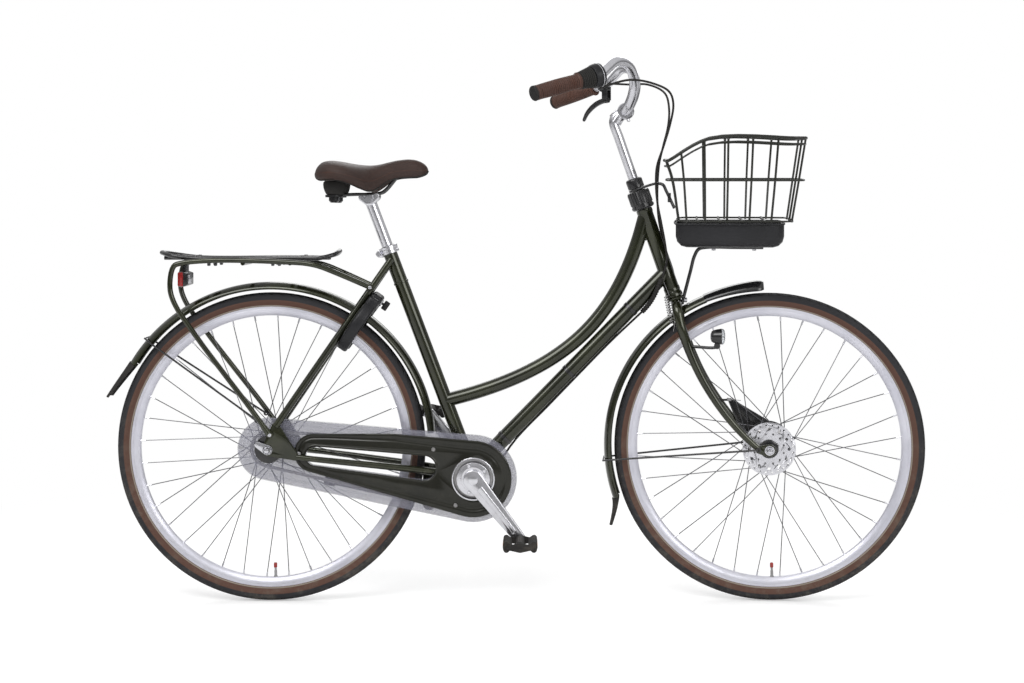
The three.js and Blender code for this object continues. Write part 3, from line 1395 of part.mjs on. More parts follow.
function buildSaddle() {
  const bore = boreOf(seatTubeRadius, roundSides);
  const foot = along(seatTop, seatUp, -seatClampHeight);
  const ring = turned(foot, seatUp, [[bore, 0], [bore + seatClampWall, 0],
    [bore + seatClampWall, seatClampHeight], [bore, seatClampHeight]]);
  const bolt = along(along(foot, seatUp, seatClampHeight / 2),
    V(-Math.sin(seatAngle), 0, -Math.cos(seatAngle)),
    bore + seatClampWall + seatBoltRadius / 2);
  place('seat_clamp', join(ring, rod(along(bolt, LEFT, -clampBodyRadius),
    along(bolt, LEFT, clampBodyRadius), seatBoltRadius)), 'steel');

  const top = along(bracket, seatUp, postTop);
  const core = rod(along(top, LEFT, -clampHalfWidth), along(top, LEFT, clampHalfWidth), clampCoreRadius,
    roundSides);
  const post = rod(along(seatTop, seatUp, -postInsert), top, postRadius, roundSides);
  place('seat_post', join(post, core), 'silver');

  const outer = clampHalfWidth + overrun;
  const body = hullPlate([[top.x, top.z, clampBodyRadius], [top.x, top.z + railRise / 2, clampBodyRadius]],
    -outer, outer, ringSides);
  const coreWay = rod(along(top, LEFT, -clampHalfWidth - clearance),
    along(top, LEFT, clampHalfWidth + clearance),
    boreOf(clampCoreRadius, roundSides), roundSides);
  const postWay = rod(along(top, seatUp, tiltGap), along(top, seatUp, -clampBodyRadius * 2),
    postRadius + tiltGap, roundSides);
  const railTop = top.z + railRise;
  const saddleFoot = saddleTopHeight - saddleSkirt * saddleFootShare - clearance - railRadius;
  const rails = [1, -1].flatMap((side) => {
    const out = side * railHalfGap;
    const line = [
      V(-railFrontBack, out / 2, saddleFoot), V(-railBendBack, out, railTop),
      V(-elastomerBack, side * elastomerHalfGap, railTop - overrun),
    ];
    const knobTop = railTop - overrun + railRadius;
    return [
      rod(line[0], line[1], railRadius, smallSides - 2), rod(line[1], line[2], railRadius, smallSides - 2),
      rod(V(line[2].x, line[2].y, knobTop), V(line[2].x, line[2].y, knobTop - knobHeight), knobRadius,
      smallSides),
    ];
  });
  place('saddle_rails', join(cut(body, coreWay, postWay), rails), 'silver');
  place('saddle', saddleSolid(), 'leather');
  const low = railTop - overrun + railRadius + clearance * 4;
  const high = saddleTopHeight - saddleSkirt * elastomerSeatShare - clearance;
  for (const [side, name] of [[-1, 'right'], [1, 'left']]) {
    const base = V(-elastomerBack, side * elastomerHalfGap, low);
    const height = high - low;
    place(`${name}_elastomer`, turned(base, UP, [
      [0, 0], [elastomerRadius * 2 / 3, 0], [elastomerRadius, height / 3],
      [elastomerRadius, height * 2 / 3],
      [elastomerRadius * 2 / 3, height], [0, height],
    ]), 'rubber');
  }
}

// Stand, folded up beside the left chainstay
function buildStand() {
  const tilt = radians(standTiltDegrees);
  const axis = V(0, Math.cos(tilt), Math.sin(tilt));
  const reach = axis.y * standEyeLength / 2 + axis.z * standEyeRadius;
  const eye = along(standPivot, LEFT, standBracketThickness / 2 + clearance + reach);
  const back = V(-Math.sqrt(standLength ** 2 - standRise ** 2), 0, standRise).divideScalar(standLength);
  const foot = along(eye, back, standLength);
  place('kickstand', join(
    rod(along(eye, axis, -standEyeLength / 2), along(eye, axis, standEyeLength / 2), standEyeRadius,
    roundSides),
    rod(eye, foot, standEyeLength / 2, smallSides),
    rod(along(foot, back, -standFootLength), foot, standFootRadius, smallSides),
  ), 'black');
}

// Down tube line from the head tube, and the direction that points away under it
const downTubeTop = along(headBottom, headUp, downTubeJoin);
const downTubeDown = along(bracket, UP, downTubeRise).sub(downTubeTop).normalize();
const underTube = downTubeDown.clone().cross(LEFT).normalize();
const underDownTube = (run, gap, sideDegrees = 0) => {
  const out = downTubeRadius + gap;
  const turn = radians(sideDegrees);
  return along(along(along(downTubeTop, downTubeDown, run), underTube, out * Math.cos(turn)), LEFT,
    -out * Math.sin(turn));
};

// Steering spring: a straight wire from the down tube that winds into a coil and ends at the fork
function buildSpring() {
  const start = underDownTube(springAnchorRun, clearance + springWire, 55);
  const foot = steered(along(onFork(springFootDrop / forkDrop, bladeShares[2][1], -springFootSide),
    headAhead,
    -bladeRadius - springRadius - overrun / 2));
  const axis = foot.clone().sub(start).normalize();
  const side = axis.clone().cross(LEFT).normalize();
  const across = axis.clone().cross(side);
  const run = start.distanceTo(foot);
  const coilFrom = run * (1 - springCoilShare);
  const winding = [];
  for (let step = 0; step <= coilCurls * coilSteps; step += 1) {
    const turn = (step * 2 * Math.PI) / coilSteps;
    const centre = along(start, axis, THREE.MathUtils.lerp(coilFrom, run - springRadius,
      step / (coilCurls * coilSteps)));
    winding.push(along(along(centre, side, springRadius * Math.cos(turn)), across,
      springRadius * Math.sin(turn)));
  }
  let least = run;
  winding.forEach((point, i) => winding.slice(i + coilSteps / 2).forEach((other) => {
    least = Math.min(least, point.distanceTo(other) - 2 * springWire);
  }));
  console.log(`least gap between the spring's turns: ${least.toFixed(2)} mm`);
  const lead = along(start, axis, coilFrom - springRadius);
  const path = smooth([start, lead, ...winding, along(foot, axis, 0)]);
  place('steering_spring', tube(path, springWire, coilSides, (coilCurls + 2) * coilSteps), 'steel');
}

// Cables. Each route is a list of points chosen by hand
function buildCables() {
  const top = barEnd(-1).at(shifterPlace + shifterLength / 2);
  const leave = steered(along(top, V(-barEnd(-1).direction.z, 0, barEnd(-1).direction.x).normalize(),
    shifterRadius + clearance + cableRadius));
  const coverTop = underDownTube(coverStart, clearance + coverRadius, 90);
  const shift = [leave, V(349, -163, 1178), V(405, -130, 1171), V(440, -98, 1155), V(450, -76, 1128),
    V(444, -58, 1085), V(430, -44, 1035),
    V(416, -36, 990), V(414, -38, 945), V(418, -33, 905), V(427, -25, 862), V(436, -26, 812),
    V(439, -27, 775),
    along(coverTop, downTubeDown, -cableRadius - clearance)];
  place('shift_cable', tube(smooth(shift), cableRadius, smallSides, tubeSteps * 2), 'black');

  const cover = [];
  for (let step = 0; step <= wireSides; step += 1) {
    const share = step / wireSides;
    cover.push(underDownTube(coverStart + coverLength * share, clearance + coverRadius, 90 * (1 - share)));
  }
  const low = [underDownTube(coverStart + coverLength - coverRadius, clearance + coverRadius),
    underDownTube(150, clearance + cableRadius),
    underDownTube(540, clearance + cableRadius), underDownTube(590, clearance + cableRadius),
    V(17, 6, 261.5), V(0, 8, 258.5),
    V(-20, 16, 259.5), V(-60, 38, 276), V(-90, 45.5, 288), V(-110, 47.5, 293), V(-235, 62, 310),
    V(-350, 76, 324), V(-400, 78, 330),
    V(-449, 78, 345)];
  place('cable_cover', join(tube(smooth(cover), coverRadius, smallSides, coverRings),
    tube(smooth(low), cableRadius, wireSides + 1, tubeSteps * 2 + wireSides)), 'black');

  const { end, axis } = leverFrame();
  const clampTop = along(end.at(leverClampPlace), axis, leverClampRadius);
  const brake = [along(clampTop, end.direction, -clearance - cableRadius), V(352, 160, 1186),
    V(395, 120, 1184), V(437, 62, 1160),
    V(446, 34, 1125), V(444, 18, 1085), V(432, 14, 1035), V(424, 14, 1000), V(420, 16, 952),
    V(419, 19, 862), V(424, 22.5, 800),
    V(438, 22.5, 745), V(443, 24, 700), V(452, 30, 655), V(468, 34.5, 612), V(484, 36, 585),
    V(518, 37.5, 510), V(560, 39, 455), V(590, 39, 453)];
  place('brake_cable', tube(smooth(brake), cableRadius, wireSides + 2, tubeSteps * 2), 'black',
    steeringInner);
}

buildFrame();
buildHeadset();
buildFork();
buildWheels();
buildStem();
buildHandlebar();
buildControls();
buildMudguards();
buildCarrier();
buildChaincase();
buildDrive();
buildCranks();
buildAxles();
buildBasket();
buildLights();
buildLock();
buildSaddle();
buildStand();
buildSpring();
buildCables();

export default bike;
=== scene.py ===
"""Dutch city bike, dressed for its studio picture around the packed frame.

Sizes are written in millimetres and turned into metres when a mesh is made. Pieces of the
front end are modelled with the wheel straight ahead and then turned about the steering axis.
"""
import logging
import math
from dataclasses import dataclass, field
from enum import Enum
from typing import Iterable, Sequence

import bpy
import bmesh
from mathutils import Matrix, Vector


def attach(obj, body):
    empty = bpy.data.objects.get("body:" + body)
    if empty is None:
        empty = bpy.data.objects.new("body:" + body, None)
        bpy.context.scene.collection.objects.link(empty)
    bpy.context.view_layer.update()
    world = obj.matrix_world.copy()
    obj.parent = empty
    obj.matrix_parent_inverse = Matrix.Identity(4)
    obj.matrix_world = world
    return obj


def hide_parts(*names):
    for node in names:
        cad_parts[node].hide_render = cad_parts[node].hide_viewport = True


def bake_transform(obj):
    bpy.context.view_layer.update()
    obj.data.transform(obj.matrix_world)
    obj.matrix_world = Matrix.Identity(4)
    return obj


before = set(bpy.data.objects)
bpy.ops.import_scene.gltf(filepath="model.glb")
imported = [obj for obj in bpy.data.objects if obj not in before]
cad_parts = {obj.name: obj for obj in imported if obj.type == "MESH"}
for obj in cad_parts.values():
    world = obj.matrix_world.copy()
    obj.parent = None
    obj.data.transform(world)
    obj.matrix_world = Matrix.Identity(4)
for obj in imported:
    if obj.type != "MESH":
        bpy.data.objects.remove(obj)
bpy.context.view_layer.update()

LOG = logging.getLogger("city_bike")
MM = 0.001
MERGE = 0.00001
Point = Sequence[float]
Colour = tuple[float, float, float]
Circle = tuple[float, float, float]
Pair = tuple[float, float]
Outline = Sequence[Pair]
Piece = bpy.types.Object

HEAD_BOTTOM = Vector((455, 0, 706))
HEAD_TOP = Vector((388.9, 0, 894.8))
HEAD_UP = Vector((-0.330514, 0, 0.943801)).normalized()
HEAD_AHEAD = Vector((0.943801, 0, 0.330514)).normalized()
SEAT_UP = Vector((-0.353475, 0, 0.935444)).normalized()
REAR = (-462.6, 352.1)
FRONT = (673.4, 352.1)
CRANK = (0, 285)
REAR_AXLE = Vector((REAR[0], 0, REAR[1]))
FRONT_AXLE = Vector((FRONT[0], 0, FRONT[1]))
BRACKET = Vector((CRANK[0], 0, CRANK[1]))
LEFT = Vector((0, 1, 0))
UP = Vector((0, 0, 1))
SIDES = (1, -1)
WHITE = (1, 1, 1, 1)
STEER_DEGREES = -5.5
FRONT_END = ("steering", "front_wheel", "brake_lever", "twist_grip")


# Shader values and node graphs


class Signal:
    """One shader value that can be added, scaled and compared like a number."""

    def __init__(self, graph: "Nodes", socket: bpy.types.NodeSocket) -> None:
        """Keeps the graph and the output socket."""
        self.graph = graph
        self.socket = socket

    def _math(self, operation: str, *values: object) -> "Signal":
        """Adds one Math node.

        Args:
            operation: the Math node's operation.
            values: signals or numbers for its inputs.

        Returns:
            The node's result.
        """
        node = self.graph.node("ShaderNodeMath", {"operation": operation}, dict(enumerate(values)))
        return Signal(self.graph, node.outputs[0])

    def __add__(self, other: object) -> "Signal":
        """Sum."""
        return self._math("ADD", self, other)

    __radd__ = __add__

    def __sub__(self, other: object) -> "Signal":
        """Difference."""
        return self._math("SUBTRACT", self, other)

    def __rsub__(self, other: object) -> "Signal":
        """Difference from a number."""
        return self._math("SUBTRACT", other, self)

    def __mul__(self, other: object) -> "Signal":
        """Product."""
        return self._math("MULTIPLY", self, other)

    def wave(self) -> "Signal":
        """The sine."""
        return self._math("SINE", self)

    def clamped(self) -> "Signal":
        """The value held between 0 and 1."""
        return self._math("MINIMUM", self._math("MAXIMUM", self, 0.0), 1.0)

    def between(self, low: float, high: float) -> "Signal":
        """A smooth step from 0 at low to 1 at high."""
        node = self.graph.node(
            "ShaderNodeMapRange", {"interpolation_type": "SMOOTHSTEP"},
            {"Value": self, "From Min": low, "From Max": high})
        return Signal(self.graph, node.outputs[0])


class Nodes:
    """The nodes of one tree."""

    def __init__(self, tree: bpy.types.NodeTree) -> None:
        """Keeps the tree."""
        self.tree = tree

    def node(self, kind: str, settings: dict[str, object] | None = None,
             values: dict[object, object] | None = None) -> bpy.types.Node:
        """Adds one node.

        Args:
            kind: the node's type.
            settings: properties that are set first.
            values: numbers, colours, sockets or signals for its inputs.

        Returns:
            The node.
        """
        node = self.tree.nodes.new(kind)
        for key, value in (settings or {}).items():
            setattr(node, key, value)
        for key, value in (values or {}).items():
            self.set(node.inputs[key], value)
        return node

    def set(self, target: bpy.types.NodeSocket, value: object) -> None:
        """Links or sets one input.

        Args:
            target: the input.
            value: a number, a colour, a socket or a signal.
        """
        if isinstance(value, Signal):
            value = value.socket
        if isinstance(value, bpy.types.NodeSocket):
            self.tree.links.new(value, target)
        else:
            target.default_value = value


class Graph(Nodes):
    """The nodes of one material."""

    def __init__(self, name: str) -> None:
        """Makes the material with its shader.

        Args:
            name: the material's name.
        """
        self.material = bpy.data.materials.new(name)
        self.material.use_nodes = True
        super().__init__(self.material.node_tree)
        self.shader = next(n for n in self.tree.nodes if n.type == "BSDF_PRINCIPLED")
        self.place = self.node("ShaderNodeTexCoord").outputs["Object"]

    def attribute(self, name: str) -> Signal:
        """Reads a number kept on the mesh."""
        return Signal(self, self.node("ShaderNodeAttribute", {"attribute_name": name}).outputs["Fac"])

    def height(self) -> Signal:
        """The height above the ground in metres."""
        split = self.node("ShaderNodeSeparateXYZ", None, {"Vector": self.place})
        return Signal(self, split.outputs["Z"])

    def distance(self) -> Signal:
        """The level distance from the middle of the bike.

        Returns:
            The distance in metres.
        """
        flat = self.node(
            "ShaderNodeVectorMath", {"operation": "MULTIPLY"}, {0: self.place, 1: (1, 1, 0)})
        size = self.node("ShaderNodeVectorMath", {"operation": "LENGTH"}, {0: flat.outputs[0]})
        return Signal(self, size.outputs["Value"])

    def stretched(self, scale: Point) -> bpy.types.NodeSocket:
        """Object coordinates scaled along each axis."""
        return self.node("ShaderNodeMapping", None, {"Vector": self.place, "Scale": scale}).outputs[0]

    def noise(self, scale: float, detail: float = 3.0, rough: float = 0.55,
              place: bpy.types.NodeSocket | None = None) -> Signal:
        """Soft noise from 0 to 1.

        Args:
            scale: how fine it is.
            detail: how many finer layers it has.
            rough: how strong those layers are.
            place: the coordinates, where they aren't the object's own.

        Returns:
            The noise.
        """
        node = self.node(
            "ShaderNodeTexNoise", None, {"Vector": place or self.place, "Scale": scale,
                "Detail": detail, "Roughness": rough})
        return Signal(self, node.outputs["Fac"])

    def cells(self, scale: float, feature: str = "F1", output: str = "Distance") -> Signal:
        """Cell pattern from 0 at each cell's middle."""
        node = self.node(
            "ShaderNodeTexVoronoi", {"feature": feature}, {"Vector": self.place, "Scale": scale})
        return Signal(self, node.outputs[output])

    def blend(self, factor: object, first: object, second: object) -> bpy.types.NodeSocket:
        """Mixes two colours.

        Args:
            factor: the share of the second.
            first: a colour or a socket.
            second: a colour or a socket.

        Returns:
            The mixed colour.
        """
        def whole(value: object) -> object:
            """A colour with its alpha."""
            return (*value, 1) if isinstance(value, tuple) and len(value) == 3 else value

        node = self.node(
            "ShaderNodeMix", {"data_type": "RGBA"}, {0: factor, 6: whole(first), 7: whole(second)})
        return node.outputs[2]

    def bump(self, height: Signal, depth: float) -> None:
        """Feeds a height times a depth in metres into the shader's normal."""
        node = self.node("ShaderNodeBump", None, {"Height": height, "Distance": depth, "Strength": 1.0})
        self.set(self.shader.inputs["Normal"], node.outputs[0])


# Finishes


class Pattern(Enum):
    """What the surface shows close up."""

    FLAKE = "metal flakes under lacquer"
    GRAIN = "fine moulded grain"
    BRUSHED = "fine drawn lines"
    HIDE = "leather grain"
    RIBBED = "rings across a grip"
    TYRE = "tread, side wall and pale line"
    CLEAN = "smooth with faint wear"


@dataclass(frozen=True)
class Finish:
    """A finish of the bike. Colours are linear, and lengths are in metres."""

    name: str
    slot: str
    colour: Colour
    tint: Colour
    rough: float
    pattern: Pattern
    metal: float = 0.0
    coat: float = 0.0
    alpha: float = 1.0
    see_through: float = 0.0
    swing: float = 0.12
    grain: float = 900.0
    depth: float = 0.0002
    dust: float = 0.25

    def material(self) -> bpy.types.Material:
        """Makes the material, or finds it again.

        Returns:
            The material.
        """
        found = bpy.data.materials.get(self.name)
        if found:
            return found
        graph = Graph(self.name)
        shader = graph.shader
        plain = {"Metallic": self.metal, "Coat Weight": self.coat, "Coat Roughness": 0.04,
                 "Alpha": self.alpha, "Transmission Weight": self.see_through, "IOR": 1.46}
        for name, value in plain.items():
            shader.inputs[name].default_value = value
        mottle = graph.noise(9.0, 4.0)
        fine = graph.noise(self.grain, 2.0)
        colour = graph.blend(mottle.between(0.35, 0.7), self.colour, self.tint)
        rough = self.rough + (mottle - 0.5) * self.swing
        height = fine
        if self.pattern is Pattern.FLAKE:
            sparkle = graph.cells(2600.0, output="Color")
            colour = graph.blend(sparkle.between(0.55, 1.0) * 0.35, colour, self._shade(2.6))
            height = graph.noise(260.0, 2.0)
        elif self.pattern is Pattern.BRUSHED:
            lines = graph.noise(60.0, 4.0, 0.7, graph.stretched((18, 60, 18)))
            rough = rough + (lines - 0.5) * 0.25
            height = lines
        elif self.pattern is Pattern.HIDE:
            creases_and_shade = graph.cells(420.0, "DISTANCE_TO_EDGE")
            height = creases_and_shade.between(0.0, 0.3) * 0.8 + fine * 0.2
            # The colour darkens along the crease lines of the grain: painted shade in the leather's
            # crease lines.
            colour = graph.blend(creases_and_shade.between(0.0, 0.12), self._shade(0.55), colour)
        elif self.pattern is Pattern.RIBBED:
            rings = (graph.attribute("along") * 1.35).wave()
            height = rings * 0.5 + fine * 0.25
            # The low parts of the ribs get a darker colour: painted shade in the grooves between the
            # grip's ribs.
            colour = graph.blend(rings.between(-1.0, -0.2), self._shade(0.5), colour)
        elif self.pattern is Pattern.TYRE:
            colour, height = self._tyre(graph, colour, fine)
        low = 1 - graph.height().between(0.05, 0.62)
        dust = low * graph.noise(38.0, 5.0, 0.7).between(0.42, 0.75) * self.dust
        graph.set(shader.inputs["Base Color"], graph.blend(dust, colour, (0.24, 0.21, 0.17)))
        graph.set(shader.inputs["Roughness"], (rough + dust * 0.5).clamped())
        graph.bump(height, self.depth)
        return graph.material

    def _shade(self, share: float) -> Colour:
        """The finish's colour, darker or lighter."""
        return tuple(min(1.0, c * share) for c in self.colour)

    def _tyre(self, graph: Graph, colour: bpy.types.NodeSocket,
              fine: Signal) -> tuple[bpy.types.NodeSocket, Signal]:
        """Bands of a tyre by radius, with cross cuts over the tread.

        Args:
            graph: the material's graph.
            colour: the rubber's colour.
            fine: the fine grain.

        Returns:
            The colour and the height.
        """
        radius = graph.attribute("ring")
        turn = graph.attribute("turn")
        side = graph.attribute("along")
        wall = radius.between(336.6, 334.4)
        pale = radius.between(320.4, 321.0) * radius.between(323.6, 323.0)
        colour = graph.blend(wall, colour, (0.108, 0.052, 0.036))
        colour = graph.blend(pale * 0.85, colour, (0.34, 0.30, 0.25))
        slant = (turn * (math.tau * 96) + side * 0.42).wave()
        cuts_and_shade = slant.between(0.55, 0.85) * radius.between(345.6, 347.4)
        ribs = (radius * 2.3).wave().between(-0.2, 0.4) * wall
        # The cross grooves turn nearly black: painted shade in the tread's grooves.
        colour = graph.blend(cuts_and_shade, colour, (0.006, 0.006, 0.006))
        return colour, fine * 0.15 - cuts_and_shade * 2.5 + ribs * 0.25


PAINT = Finish(
    "olive_lacquer", "paint", (0.012, 0.014, 0.004), (0.030, 0.034, 0.012), 0.23, Pattern.FLAKE,
    metal=0.62, coat=1.0, swing=0.08, depth=0.00004, dust=0.18)
BLACK = Finish(
    "black_moulding", "black", (0.008, 0.008, 0.010), (0.014, 0.014, 0.017), 0.40, Pattern.GRAIN,
    grain=1400.0, depth=0.00012)
ENAMEL = Finish(
    "black_enamel", "black", (0.008, 0.008, 0.009), (0.013, 0.013, 0.014), 0.24, Pattern.CLEAN,
    coat=0.7, depth=0.00003)
SOLE = Finish("black_rubber", "rubber", (0.014, 0.013, 0.012), (0.022, 0.020, 0.018), 0.72,
              Pattern.GRAIN, grain=700.0, depth=0.0003)
TYRE = Finish("tyre_rubber", "rubber", (0.018, 0.018, 0.021), (0.028, 0.028, 0.031), 0.76, Pattern.TYRE,
              grain=600.0, depth=0.0006, dust=0.35)
ALLOY = Finish(
    "polished_alloy", "silver", (0.84, 0.84, 0.88), (0.72, 0.72, 0.76), 0.22, Pattern.CLEAN, metal=1.0,
    depth=0.00003, dust=0.15)
RIM = Finish("brushed_rim", "silver", (0.80, 0.80, 0.88), (0.68, 0.68, 0.76), 0.34, Pattern.BRUSHED,
             metal=0.55, depth=0.00005, dust=0.15)
STEEL = Finish(
    "plated_steel", "steel", (0.46, 0.46, 0.47), (0.34, 0.33, 0.33), 0.30, Pattern.CLEAN, metal=1.0,
    depth=0.00005, dust=0.3)
SMOKE = Finish(
    "smoked_shell", "smoke", (0.30, 0.30, 0.37), (0.35, 0.35, 0.42), 0.12, Pattern.CLEAN, alpha=0.30,
    coat=0.3, grain=500.0, depth=0.0001, dust=0.4)
SADDLE = Finish(
    "brown_cover", "leather", (0.038, 0.018, 0.013), (0.060, 0.028, 0.020), 0.43, Pattern.HIDE,
    grain=1500.0, depth=0.00035, dust=0.0)
GRIP = Finish("brown_grip", "leather", (0.080, 0.033, 0.022), (0.120, 0.052, 0.034), 0.55,
              Pattern.RIBBED, grain=1500.0, depth=0.0006, dust=0.0)
AMBER = Finish(
    "amber_reflector", "red", (0.72, 0.25, 0.03), (0.80, 0.32, 0.05), 0.15, Pattern.CLEAN, coat=0.6,
    grain=300.0, depth=0.0006)
RED = Finish("red_reflector", "red", (0.34, 0.012, 0.012), (0.42, 0.02, 0.018), 0.15, Pattern.CLEAN,
             coat=0.6, grain=300.0, depth=0.0006)
LENS = Finish("clear_lens", "clear", (0.86, 0.88, 0.90), (0.80, 0.83, 0.86), 0.06, Pattern.CLEAN,
              see_through=0.8, grain=300.0, depth=0.0004, dust=0.0)
WIRE = Finish("basket_coating", "wire", (0.009, 0.010, 0.006), (0.016, 0.017, 0.011), 0.34,
              Pattern.CLEAN, coat=0.4, metal=0.1, grain=500.0, depth=0.00015, dust=0.0)
SPOKE = Finish(
    "drawn_wire", "steel", (0.20, 0.20, 0.21), (0.13, 0.13, 0.14), 0.34, Pattern.CLEAN, metal=1.0,
    depth=0.00003, dust=0.2)
COVER = Finish(
    "dark_lacquer", "paint", (0.007, 0.007, 0.003), (0.012, 0.012, 0.006), 0.30, Pattern.FLAKE,
    metal=0.3, coat=0.5, swing=0.05, depth=0.00004, dust=0.04)


# Modelling tools


def wheel_point(axle: Vector, degrees: float, radius: float, side: float = 0.0) -> Vector:
    """A point by its angle about an axle, 0 ahead and 90 up.

    Args:
        axle: the wheel's middle.
        degrees: the angle.
        radius: the distance from the axle.
        side: the distance to the rider's left.

    Returns:
        The point in millimetres.
    """
    turn = math.radians(degrees)
    return axle + Vector((radius * math.cos(turn), side, radius * math.sin(turn)))


def smooth_line(points: Sequence[Point], steps: int = 8, closed: bool = False) -> list[Vector]:
    """A curve that bends softly through all of its points.

    Args:
        points: the points in order.
        steps: how many parts each stretch gets.
        closed: whether the last point leads to the first.

    Returns:
        The points of the curve.
    """
    spots = [Vector(p) for p in points]
    count = len(spots)
    line = []
    for i in range(count if closed else count - 1):
        if closed:
            a, b, c, d = (spots[(i + k) % count] for k in (-1, 0, 1, 2))
        else:
            b, c = spots[i], spots[i + 1]
            a = spots[i - 1] if i else b * 2 - c
            d = spots[i + 2] if i + 2 < count else c * 2 - b
        near = max((b - a).length, 1e-6) ** 0.5
        mid = max((c - b).length, 1e-6) ** 0.5
        far = max((d - c).length, 1e-6) ** 0.5
        start = ((b - a) / near - (c - a) / (near + mid) + (c - b) / mid) * mid
        end = ((c - b) / mid - (d - b) / (mid + far) + (d - c) / far) * mid
        for step in range(steps):
            t = step / steps
            line.append(b * (2 * t ** 3 - 3 * t ** 2 + 1) + start * (t ** 3 - 2 * t ** 2 + t)
                        + c * (3 * t ** 2 - 2 * t ** 3) + end * (t ** 3 - t ** 2))
    if not closed:
        line.append(spots[-1])
    return line


def hull(circles: Sequence[Circle], steps: int = 24) -> list[Pair]:
    """The outline that a band stretched round some circles takes.

    Args:
        circles: each circle's two middle coordinates and its radius.
        steps: how many parts a full circle has.

    Returns:
        The outline's points, in order.
    """
    turns = [math.tau * i / steps for i in range(steps)]
    dots = sorted({
        (round(x + r * math.cos(turn), 4), round(z + r * math.sin(turn), 4)) for x, z, r in circles
        for turn in turns})

    def cross(a: Pair, b: Pair, c: Pair) -> float:
        """Above 0 where the way from a over b to c turns left."""
        return (b[0] - a[0]) * (c[1] - a[1]) - (b[1] - a[1]) * (c[0] - a[0])

    def half(run: Iterable[Pair]) -> list[Pair]:
        """One side of the hull.

        Args:
            run: all of the points, in order.

        Returns:
            Those that the band touches, without the last.
        """
        kept: list[Pair] = []
        for p in run:
            while len(kept) > 1 and cross(kept[-2], kept[-1], p) <= 0:
                kept.pop()
            kept.append(p)
        return kept[:-1]

    return half(dots) + half(reversed(dots))


def disc(middle: Pair, radius: float, steps: int) -> list[Pair]:
    """A round outline."""
    return hull([(*middle, radius)], steps)


def both(half: Outline) -> list[Pair]:
    """A profile and its mirror image across its middle."""
    return [*half, *((radius, -side) for radius, side in reversed(half))]


def on_side(line: Sequence[Point], side: int) -> list[Vector]:
    """A line on the left, or its mirror image on the right."""
    return [Vector((x, y * side, z)) for x, y, z in line]


def level_ring(front: Sequence[Point], rear: Sequence[Point]) -> list[Point]:
    """A ring that is the same on the left and on the right.

    Args:
        front: its left front stretch, going outwards to the front.
        rear: its left rear stretch, going from the back to the side.

    Returns:
        The ring's points.
    """
    right = [(x, -y, z) for x, y, z in [*reversed(front), *reversed(rear)]]
    return [*front, *right, *rear]


STEER = (Matrix.Translation(HEAD_BOTTOM * MM) @ Matrix.Rotation(math.radians(STEER_DEGREES), 4,
             HEAD_UP) @ Matrix.Translation(-HEAD_BOTTOM * MM))


